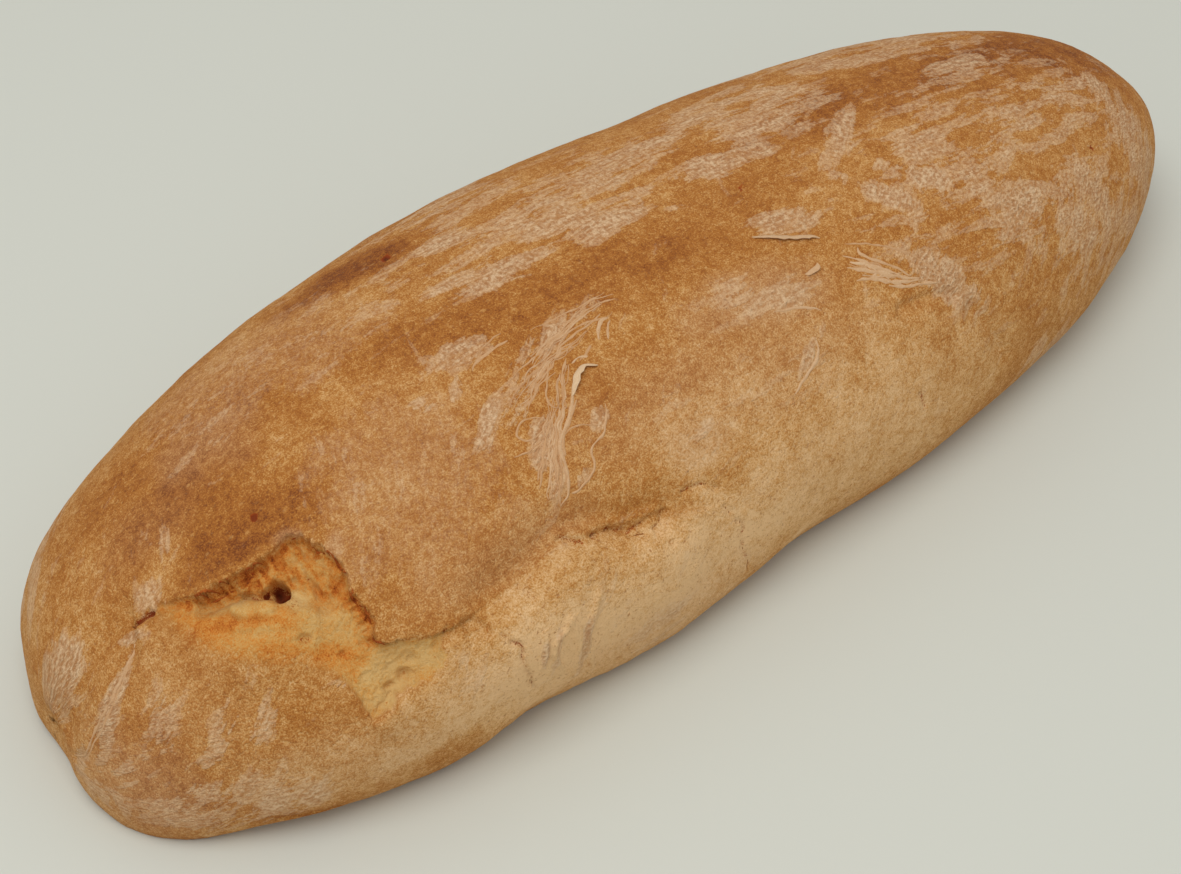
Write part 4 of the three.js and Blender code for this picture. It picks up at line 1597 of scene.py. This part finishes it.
@dataclass
class Loaf:
    """The whole crust as one fine mesh that stands for the plain solid."""

    recipe: CrustRecipe = field(default_factory=CrustRecipe)
    stations: int = 246
    ring: int = 190
    middle_span: Triple = (0.8, 2.4, 1.35)
    girth_spans: tuple[Triple, ...] = ((-22.0, 150.0, 2.6), (150.0, 205.0, 1.5))
    patches: tuple[FinePatch, ...] = (
        FinePatch((-186.0, -134.0), (16.0, 78.0), 4),
        FinePatch((-129.0, -119.0), (12.0, 36.0), 3),
        FinePatch((-116.0, -26.0), (-10.0, 40.0), 3),
        FinePatch((-92.0, -30.0), (43.0, 82.0), 2),
        FinePatch((4.0, 84.0), (6.0, 78.0), 2))
    flat_radius: float = 70.0
    shift: Array = field(default_factory=lambda: np.zeros(3))

    @staticmethod
    def spread(start: float, end: float, count: int,
               spans: Sequence[Triple]) -> Array:
        """Spread values so that they lie closer inside spans.

        Args:
            start: First value.
            end: Last value.
            count: Number of steps.
            spans: Low end, high end and weight of each span.

        Returns:
            count + 1 values from start to end.
        """
        fine = np.linspace(start, end, SPREAD_SAMPLES)
        weight = np.ones_like(fine)
        margin = SPREAD_MARGIN * (end - start)
        for low, high, amount in spans:
            inside = smooth(fine, low - margin, low) * (1 - smooth(fine, high, high + margin))
            weight = np.maximum(weight, 1 + (amount - 1) * inside)
        run = np.concatenate(([0.0], np.cumsum((weight[1:] + weight[:-1]) / 2)))
        return np.interp(np.linspace(0, run[-1], count + 1), run, fine)

    def grid(self) -> CrustGrid:
        """Lay the stations along the loaf and the rows round it."""
        half = self.recipe.loaf.length / 2
        turns = self.spread(0.0, math.pi, self.stations, [self.middle_span])
        girths = self.spread(-90.0, 270.0, self.ring, self.girth_spans)
        grid = CrustGrid(-np.cos(turns[1:-1]), girths[:-1], self.patches, half)
        grid.build(self.recipe.loaf.tip)
        return grid

    def build(self, material: bpy.types.Material) -> bpy.types.Object:
        """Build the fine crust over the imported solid.

        Args:
            material: The crust's finish.

        Returns:
            The crust piece.
        """
        grid = self.grid()
        places = np.array(grid.places)
        crust = self.recipe.form(places[:, 0], np.radians(places[:, 1]))
        points = crust.points
        for tip, ring in ((places[:, 0].min(), grid.along[0]), (places[:, 0].max(), grid.along[-1])):
            points[places[:, 0] == tip, 1:] = points[places[:, 0] == ring, 1:].mean(0)
        grid.tie(points)
        low, high = (np.array(corner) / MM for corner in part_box("loaf"))
        middle = (points.min(0) + points.max(0)) / 2
        self.shift = ((low + high) / 2 - middle) * (1, 1, 0)
        piece = add_mesh("loaf_crust", (points + self.shift) * MM, grid.faces, material)
        self.dress(piece, crust, places)
        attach(piece, "root")
        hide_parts("loaf")
        return piece

    def dress(self, piece: bpy.types.Object, crust: CrustField, places: Array) -> None:
        """Store the finish grades and the flattened place of each point on the mesh.

        Args:
            piece: The crust piece.
            crust: The crust field of its points.
            places: Place along and degrees round of its points.
        """
        grades = {"bake": crust.bake, "crumb": crust.crumb, "toast": crust.toast, "dark": crust.dark}
        grades.update({lay.value: amount for lay, amount in crust.flour.items()})
        for name, values in grades.items():
            layer = piece.data.attributes.new(name, "FLOAT", "POINT")
            layer.data.foreach_set("value", values.astype(np.float32))
        flat = np.zeros((len(places), 3), np.float32)
        flat[:, 0] = crust.points[:, 0] * MM
        flat[:, 1] = np.radians(places[:, 1]) * self.flat_radius * MM
        layer = piece.data.attributes.new("flat_place", "FLOAT_VECTOR", "POINT")
        layer.data.foreach_set("vector", flat.ravel())


@dataclass(frozen=True)
class Strand:
    """Thread of stretched skin that lies on the crust."""

    places: tuple[Place, ...]
    half_width: float = 0.42
    rise: float = 0.4
    pale: float = 0.1


@dataclass(frozen=True)
class Flake:
    """Lifted edge of skin: fast along its path, free on one side."""

    places: tuple[Place, ...]
    width: float
    lift: float
    pale: float = 0.5


@dataclass(frozen=True)
class Fan:
    """Many fine threads of skin spread between two guide lines."""

    first: tuple[Place, ...]
    last: tuple[Place, ...]
    count: int
    seed: int
    half_width: float = 0.3
    sway: float = 0.45
    knots: int = 10
    shortest: int = 4
    widths: Span = (0.5, 1.6)
    rises: Span = (0.25, 0.7)
    pales: Span = (0.0, 0.5)

    def strands(self) -> list[Strand]:
        """Draw the threads.

        Returns:
            Threads that each follow a part of the way from one guide's course to the other's.
        """
        draw = np.random.default_rng(self.seed)
        first, last = (CrustPath(guide).spread(self.knots) for guide in (self.first, self.last))
        made = []
        for _ in range(self.count):
            line = first + (last - first) * draw.uniform()
            begin = draw.integers(0, self.knots // 2)
            line = line[begin:begin + draw.integers(self.shortest, self.knots)]
            line = line + self.sway * draw.normal(size=line.shape)
            width = self.half_width * draw.uniform(*self.widths)
            rise, pale = draw.uniform(*self.rises), draw.uniform(*self.pales)
            made.append(Strand(tuple(map(tuple, line)), width, rise, pale))
        return made


FANS = (
    Fan(((-77, 72), (-66, 74.5), (-56, 76.5), (-46, 78.5), (-34, 79)),
        ((-80, 62), (-72, 66), (-64, 69.5), (-56, 71.5), (-42, 74)), 18, 21),
    Fan(((-57, 70), (-62, 64), (-66, 60), (-72, 54), (-76, 46), (-79, 42)),
        ((-70, 62), (-75, 58.5), (-79, 55), (-83, 51), (-86, 47)), 22, 22),
    Fan(((36, 61), (42, 57.5), (48, 53), (54, 48.5), (59, 43.5)),
        ((33.5, 51.5), (39, 50.5), (44, 47), (49, 44.5), (56, 41.5)), 7, 23, sway=0.7),
)

WEB = (
    Strand(((-59, 79.8), (-53, 79.2), (-46, 78.8), (-39, 78.8), (-33, 77.5))),
    Strand(((-58, 74.5), (-51.6, 75.8), (-45, 76.8), (-38.5, 77.2), (-33.4, 76.5))),
    Strand(((-57.6, 72.5), (-51.6, 74.8), (-44.6, 74.8), (-40, 73.8), (-37, 74.1))),
    Strand(((-76.8, 71.8), (-66.5, 73.5), (-59, 74.5), (-52.5, 75.2), (-45.5, 76.5))),
    Strand(((-75, 69.8), (-67.4, 70.8), (-60.4, 72.1), (-56.2, 72.5), (-52.5, 71.5)), 0.4),
    Strand(((-74, 64.5), (-69.8, 68.1), (-65.6, 69.8), (-59, 71.8), (-54.4, 71.8)), 0.5, 0.5),
    Strand((
        (-60.4, 63.5), (-63.2, 60.5), (-66.5, 58.1), (-70.7, 55.8), (-73, 53.8), (-74.4, 49.8),
        (-75.4, 46.5), (-77.2, 43.4), (-80.5, 41.4)), 0.7, 0.8, 0.35),
    Strand((
        (-67, 61.1), (-69.8, 58.1), (-73, 55.1), (-75.8, 51.5), (-77.7, 48.1), (-79.6, 44.1),
        (-80.5, 41.4)), 0.7, 0.6),
    Strand(((-61.4, 60.8), (-64.6, 58.8), (-68.8, 56.5), (-71.2, 54.5), (-73, 51.1)), 0.6, 0.6),
    Strand(((-56.7, 70.1), (-60.4, 67.5), (-63.2, 63.8), (-65.6, 61.5), (-68.4, 59.1)), 0.6, 0.5),
    Strand((
        (-68.8, 60.8), (-71.6, 59.1), (-75.4, 56.5), (-78.2, 53.8), (-81, 50.8),
        (-84.2, 47.8)), 0.9, 0.6),
    Strand(((-70.2, 55.5), (-73.5, 55.1), (-77.2, 54.1), (-80.5, 52.1), (-83.3, 49.8)), 0.6),
    Strand((
        (-72.1, 61.1), (-75.8, 62.8), (-79.6, 62.5), (-81.4, 60.8), (-80, 58.8), (-75.8, 58.5),
        (-72.1, 59.5)), 0.45),
    Strand((
        (-61.4, 68.8), (-64.6, 68.1), (-67, 66.1), (-68.4, 63.5), (-67.4, 61.8), (-65.6, 62.1)), 0.45),
    Strand((
        (-55.3, 56.8), (-57.6, 53.8), (-60.4, 50.8), (-62.8, 50.5), (-65.6, 49.1), (-67.4, 45.5),
        (-70.2, 43.8), (-74, 42.8), (-76.3, 42.8)), 0.6, 0.5, 0.25),
    Strand(((-69.8, 55.5), (-66.5, 55.8), (-62.8, 54.8), (-60.4, 53.5)), 0.4),
    Strand(((-81.9, 56.1), (-78.2, 56.1), (-74.9, 56.5), (-72.6, 55.8)), 0.4),
    Strand(((-85.2, 57.1), (-81.4, 56.5), (-76.3, 56.8)), 0.4),
    Strand(((-45.5, 70.1), (-43.6, 72.1), (-41.3, 73.5), (-39, 73.5)), 0.8, 0.6, 0.4),
    Strand(((-43.2, 69.1), (-41.8, 71.1), (-39, 72.8)), 0.5, 0.5, 0.3),
    Strand(((-53.9, 68.1), (-50.2, 69.1), (-48.3, 69.8)), 0.5),
    Strand(((-56.2, 68.5), (-53, 68.8), (-51.1, 68.1)), 0.6, 0.5, 0.5),
    Strand(((-66, 80.2), (-71.6, 80.2), (-77.2, 79.5), (-79.6, 78.5)), 0.6),
    Strand(((-66, 82.5), (-72.1, 81.8), (-77.7, 80.8)), 0.4),
    Strand((
        (37.6, 62.5), (43.2, 60.1), (49.7, 55.8), (55.3, 51.1), (58.6, 45.5),
        (62.3, 40.4)), 0.5, 0.5, 0.15),
    Strand(((40.4, 60.1), (39.9, 58.1), (42.7, 55.1), (47.4, 50.8), (50.6, 46.8)), 0.6, 0.5, 0.3),
    Strand((
        (34.3, 60.1), (38, 57.5), (40.8, 54.1), (44.6, 51.1), (47.8, 47.5),
        (53.4, 44.8)), 0.8, 0.6, 0.35),
    Strand(((33.4, 57.1), (38, 54.1), (41.8, 51.5), (45.5, 48.8), (51.1, 45.8)), 0.9, 0.6, 0.35),
    Strand(((33.4, 52.5), (38.5, 51.5), (43.2, 47.8), (47.8, 46.1), (53, 44.4)), 0.9, 0.6, 0.35),
    Strand(((35.2, 57.8), (39, 55.5), (41.3, 52.1)), 0.6, 0.5, 0.5),
    Strand(((42.2, 47.1), (46.9, 45.1), (52.5, 43.1), (58.6, 40.8)), 0.8, 0.5, 0.35),
    Strand(((39, 51.8), (42.7, 51.5), (46.9, 47.5)), 0.6, 0.5, 0.5),
    Strand(((11, 44.8), (10, 42.1), (7.2, 39.8), (2.6, 37.8), (-3.5, 35.1)), 0.7, 0.5, 0.4),
    Strand(((4.4, 56.1), (9.1, 54.8), (12.4, 53.8), (15.6, 52.5), (18, 50.8)), 0.6, 0.5, 0.4),
    Strand(((-187.4, 71.6), (-192, 66.5), (-197, 60.5), (-203.6, 46), (-208.4, 14)), 0.6, 0.5, 0.25),
    Strand(((-188.5, 70), (-193.6, 63.6), (-198.6, 55.6), (-204.6, 38), (-208.6, 6)), 0.5, 0.4, 0.15),
)

CRACK_RISE = 0.1

# Half width and places of the strips of painted shade in the floors of the thin cracks
CRACKS = tuple(Strand(places, half_width, CRACK_RISE) for half_width, places in (
    (0.6, ((-186, 76.8), (-184.1, 75.8), (-181.8, 75.5), (-180, 74.8))),
    (0.35, ((-100.4, 30), (-99.2, 28), (-98.6, 26))),
    (0.5, ((-84.4, 35.2), (-83, 33.6), (-81.6, 32.2))),
    (0.4, ((-81.8, 32), (-80.4, 31), (-79, 30))),
    (0.8, ((-76.2, 30.6), (-75.4, 30.1), (-74.8, 29.7))),
    (0.3, ((-74.4, 29.5), (-72.6, 29.3), (-70.6, 28.8))),
    (0.8, ((-70.8, 29.9), (-69.8, 28.7), (-67.8, 27.3), (-65.8, 25.9))),
    (0.35, ((-66, 25.1), (-63.2, 25.7), (-60, 25.2))),
    (0.35, ((-64.6, 23.8), (-62.6, 23.2), (-61, 22.7))),
    (0.5, ((-58.2, 22.6), (-56.4, 22.7), (-54.8, 23.6), (-53.8, 25))),
    (0.35, ((-47.2, 27.6), (-45.6, 27.9), (-43.8, 27.7))),
    (0.5, ((-41.4, 27.2), (-39.4, 26.5), (-37.6, 25.2), (-36, 23.6))),
    (0.5, ((-36, 18), (-35.2, 16.4), (-33.4, 13.2))),
    (0.35, ((-32.2, 11.2), (-30.8, 8.9), (-30.7, 6.4))),
    (0.4, ((-30.8, 4.6), (-30.9, 2.4), (-29.8, -0.2))),
    (0.35, ((-28.9, -2.2), (-28.4, -5.2), (-28.2, -8.4))),
    (0.6, ((39.9, 13.9), (41.4, 11.2), (41.9, 8.8), (41.8, 7.3))),
    (0.6, ((-71.8, 118.6), (-70.8, 118.5), (-69.6, 118.2))),
))


@dataclass(frozen=True)
class RimFlecks:
    """Short burnt shreds along the torn rim of the burst."""

    rim: CrustPath = Burst().split
    end_x: float = -137.5
    start_x: float = -177.0
    count: int = 16
    seed: int = 31
    steps: int = 300
    stride: int = 4
    lengths: tuple[int, int] = (8, 22)
    sway: float = 0.15
    drop: Span = (-1.0, 0.4)
    widths: Span = (0.2, 0.45)
    rises: Span = (0.3, 0.8)

    def strands(self) -> list[Strand]:
        """Draw the shreds.

        Returns:
            Short threads that follow the rim.
        """
        draw = np.random.default_rng(self.seed)
        places = self.rim.spread(self.steps)
        first = int(np.argmax(places[:, 0] > self.start_x))
        last = int(np.argmax(places[:, 0] > self.end_x))
        made = []
        for begin in draw.integers(first, last, self.count):
            shred = places[begin:begin + draw.integers(*self.lengths):self.stride]
            shred = shred + self.sway * draw.normal(size=shred.shape) + (0.0, draw.uniform(*self.drop))
            width, rise = draw.uniform(*self.widths), draw.uniform(*self.rises)
            made.append(Strand(tuple(map(tuple, shred)), width, rise))
        return made


FLAKES = (
    Flake(((-50.5, 65), (-53, 66.8), (-56.2, 66.6), (-59.5, 64.9), (-62.2, 62)), 1.9, 1.8, 0.9),
    Flake(((14.7, 75.4), (18.9, 74), (23.6, 71.7), (27.3, 70), (30.1, 69), (32.4, 67)), -2.2, 1.3, 0.5),
    Flake(((20, 60.9), (23.1, 61.2), (26, 61.9)), -1.7, 0.7, 0.3),
)


@dataclass(frozen=True)
class CrackFinish:
    """Dark brown finish of thin strips, such as the painted shade in the floor of a crack."""

    name: str = "crack_shade"
    roughness: float = 0.9
    specular: float = 0.1
    stops: Stops = ((0.3, linear(164, 106, 52)), (0.7, linear(110, 62, 28)))

    def build(self, grain: bpy.types.NodeTree) -> bpy.types.Material:
        """Lay out the material.

        Args:
            grain: The crust grain group.

        Returns:
            The material.
        """
        material, builder, shader = new_material(self.name, self.roughness, self.specular)
        grained = builder.place(grain, Vector=builder.space()).outputs
        builder.feed(shader.inputs["Base Color"], builder.ramp(grained["Mottle"], self.stops))
        return material


SCORCHED = CrackFinish("scorched_shred", stops=((0.3, linear(188, 106, 46)), (0.7, linear(134, 60, 26))))


@dataclass
class LiftedSkin:
    """Threads and flakes of skin that stand off the crust, and strips of painted shade in its cracks."""

    recipe: CrustRecipe
    shift: Array
    steps_per_mm: float = 1.6
    least_steps: int = 8
    bend: float = 0.45
    bend_size: float = 3.0
    bend_shift: float = 40.0
    sink: float = 0.25
    slim: float = 0.66
    flat: float = 0.5
    tip: float = 0.25
    thread_round: float = 0.5
    thread_vary: float = 0.8
    thread_size: float = 2.4
    thread_rows: tuple[Span, ...] = (
        (-1.5, -1.0), (-1.0, 0.08), (-0.5, 0.7), (0.0, 1.0), (0.5, 0.7), (1.0, 0.08), (1.5, -1.0))
    thickness: float = 0.3
    flake_round: float = 0.6
    flake_vary: float = 0.35
    flake_size: float = 2.0
    flake_rows: tuple[Span, ...] = ((0.0, 0.1), (0.4, 0.35), (0.8, 0.75), (1.0, 1.0))

    def lay(self, parts: Sequence[Strand | Flake]) -> list[tuple[Array, Array, Array]]:
        """Lay the paths of all parts on the finished crust.

        Args:
            parts: The threads or flakes.

        Returns:
            Points, outward directions and sideways directions of each path.
        """
        loaf = self.recipe.loaf
        spreads = []
        for part in parts:
            path = CrustPath(part.places)
            rough = loaf.point(*loaf.parameters(path.spread()))
            length = np.linalg.norm(np.diff(rough, axis=0), axis=1).sum()
            spreads.append(path.spread(max(self.least_steps, int(length * self.steps_per_mm))))
        crust = self.recipe.form(*loaf.parameters(np.concatenate(spreads)))
        sway = self.bend * self.recipe.noise.at(crust.points + self.bend_shift, self.bend_size)
        laid = []
        ends = np.cumsum([len(s) for s in spreads])
        for start, end in zip(ends - [len(s) for s in spreads], ends):
            points, out = crust.points[start:end], crust.normals[start:end]
            side = np.cross(out, np.gradient(points, axis=0))
            side /= np.linalg.norm(side, axis=1, keepdims=True)
            laid.append((points + side * sway[start:end, None], out, side))
        return laid

    def band(self, rows: Sequence[Array]) -> tuple[Array, list[tuple[int, ...]]]:
        """Join rows of points into a closed band.

        Args:
            rows: Rows of the same length, in order round the band.

        Returns:
            The points and the faces.
        """
        count, length = len(rows), len(rows[0])
        faces = []
        for r, i in product(range(count), range(length - 1)):
            after = (r + 1) % count
            faces.append((r * length + i, after * length + i, after * length + i + 1, r * length + i + 1))
        faces.append(tuple(r * length for r in reversed(range(count))))
        faces.append(tuple(r * length + length - 1 for r in range(count)))
        return np.concatenate(rows), faces

    def thread(self, strand: Strand, points: Array, out: Array,
               side: Array) -> tuple[Array, list[tuple[int, ...]]]:
        """Shape one thread.

        Args:
            strand: The thread's path and size.
            points: Points of the laid path.
            out: Outward directions there.
            side: Sideways directions there.

        Returns:
            The points and the faces.
        """
        share = np.linspace(0.0, 1.0, len(points))
        taper = self.tip + (1.0 - self.tip) * np.sin(math.pi * share) ** self.thread_round
        vary = 1.0 + self.thread_vary * self.recipe.noise.at(points, self.thread_size)
        width = (self.slim * strand.half_width * taper * vary)[:, None]
        rise = (self.flat * strand.rise * taper)[:, None]
        rows = [points + side * width * across + out * (rise * up if up > 0 else -self.sink)
                for across, up in self.thread_rows]
        return self.band(rows)

    def flap(self, flake: Flake, points: Array, out: Array,
             side: Array) -> tuple[Array, list[tuple[int, ...]]]:
        """Shape one lifted flake.

        Args:
            flake: The flake's path and size.
            points: Points of the laid path.
            out: Outward directions there.
            side: Sideways directions there.

        Returns:
            The points and the faces.
        """
        share = np.linspace(0.0, 1.0, len(points))
        vary = 1.0 + self.flake_vary * self.recipe.noise.at(points, self.flake_size)
        taper = (np.sin(math.pi * share) ** self.flake_round * vary)[:, None]
        rows = [points + side * flake.width * taper * across + out * flake.lift * taper * up
                for across, up in self.flake_rows]
        lower = [row - out * self.thickness for row in reversed(rows)]
        return self.band([*rows, *lower])

    def build(self, name: str, parts: Sequence[Strand | Flake],
              material: bpy.types.Material) -> bpy.types.Object:
        """Build one piece from many threads or flakes.

        Args:
            name: The piece's name.
            parts: The threads or flakes.
            material: The skin's finish.

        Returns:
            The piece.
        """
        points: list[Array] = []
        faces: list[tuple[int, ...]] = []
        pale: list[Array] = []
        for part, laid in zip(parts, self.lay(parts)):
            shape = self.thread if isinstance(part, Strand) else self.flap
            made, corners = shape(part, *laid)
            base = sum(len(p) for p in points)
            points.append(made)
            pale.append(np.full(len(made), part.pale, np.float32))
            faces += [tuple(base + c for c in face) for face in corners]
        piece = add_mesh(name, (np.concatenate(points) + self.shift) * MM, faces, material)
        layer = piece.data.attributes.new("pale", "FLOAT", "POINT")
        layer.data.foreach_set("value", np.concatenate(pale))
        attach(piece, "root")
        return piece


@dataclass
class Studio:
    """Pale floor, soft light and the camera at the photograph's angle."""

    aim: Triple = (-45.0, -25.0, 40.0)
    azimuth: float = -37.5
    elevation: float = 46.0
    distance: float = 606.0
    lens: float = 65.0
    sensor: float = 36.0
    floor_half: float = 6.0
    floor_colour: Colour = linear(208, 210, 200)
    floor_roughness: float = 0.7
    floor_specular: float = 0.5
    world_colour: Colour = (1.0, 0.99, 0.97, 1.0)
    world_light: float = 0.63
    key_power: float = 7.4
    key_size: float = 0.9
    key_from: Triple = (-0.36, -0.2, 1.3)

    def build(self, shift: Array) -> None:
        """Set the floor, the lights and the camera.

        Args:
            shift: How far the loaf moved from its own frame, in millimetres.
        """
        self.add_floor()
        self.add_lights()
        self.add_camera((np.array(self.aim) + shift) * MM)
        bpy.context.scene.view_settings.view_transform = "Standard"

    def add_floor(self) -> None:
        """Lay the pale matt floor."""
        material, _, shader = new_material("pale_floor", self.floor_roughness, self.floor_specular)
        shader.inputs["Base Color"].default_value = self.floor_colour
        half = self.floor_half
        corners = np.array([(-half, -half, 0), (half, -half, 0), (half, half, 0), (-half, half, 0)])
        floor = add_mesh("floor", corners, [(0, 1, 2, 3)], material)

    def add_lights(self) -> None:
        """Hang a broad soft light over the front and fill the room evenly."""
        world = bpy.data.worlds.new("room")
        world.use_nodes = True
        background = world.node_tree.nodes["Background"]
        background.inputs["Color"].default_value = self.world_colour
        background.inputs["Strength"].default_value = self.world_light
        bpy.context.scene.world = world
        light = bpy.data.lights.new("overhead", "AREA")
        light.shape = "DISK"
        light.size = self.key_size
        light.energy = self.key_power
        lamp = bpy.data.objects.new("overhead", light)
        lamp.location = self.key_from
        lamp.rotation_euler = (-Vector(lamp.location)).to_track_quat("-Z", "Y").to_euler()
        bpy.context.scene.collection.objects.link(lamp)

    def add_camera(self, aim: Array) -> None:
        """Place the camera.

        Args:
            aim: The point that the camera looks at, in metres.
        """
        a, e = math.radians(self.azimuth), math.radians(self.elevation)
        back = Vector((math.sin(a) * math.cos(e), -math.cos(a) * math.cos(e), math.sin(e)))
        data = bpy.data.cameras.new("camera")
        data.lens = self.lens
        data.sensor_width = self.sensor
        data.sensor_fit = "HORIZONTAL"
        camera = bpy.data.objects.new("camera", data)
        camera.location = Vector(aim) + back * self.distance * MM
        camera.rotation_euler = back.to_track_quat("Z", "Y").to_euler()
        bpy.context.scene.collection.objects.link(camera)
        bpy.context.scene.camera = camera


def main() -> None:
    """Build and dress the loaf, then set the studio."""
    logging.basicConfig(level=logging.INFO, format="%(name)s: %(message)s")
    LOG.info("frame holds %s", sorted(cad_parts))
    details = (*SWELLS, *CREASES, *PITS, *BAKE, *TOAST, *FLOUR)
    LOG.info("relief and strokes: %s", ", ".join(detail.name for detail in details))
    grain = CrustGrain().build()
    loaf = Loaf()
    crust = loaf.build(CrustFinish().build(grain, FlourFilm().build()))
    skin = LiftedSkin(loaf.recipe, loaf.shift)
    finish = SkinFinish().build(grain)
    threads = [strand for fan in FANS for strand in fan.strands()]
    pieces = [crust, skin.build("skin_web", [*WEB, *threads], finish),
              skin.build("skin_flakes", FLAKES, finish),
              # Strips of painted shade in the thin cracks
              skin.build("crack_shades", CRACKS, CrackFinish().build(grain)),
              skin.build("scorched_rim", RimFlecks().strands(), SCORCHED.build(grain))]
    for piece in pieces:
        triangles = sum(len(face.vertices) - 2 for face in piece.data.polygons)
        LOG.info("%s has %d triangles", piece.name, triangles)
    Studio().build(loaf.shift)


if __name__ == "__main__":
    main()
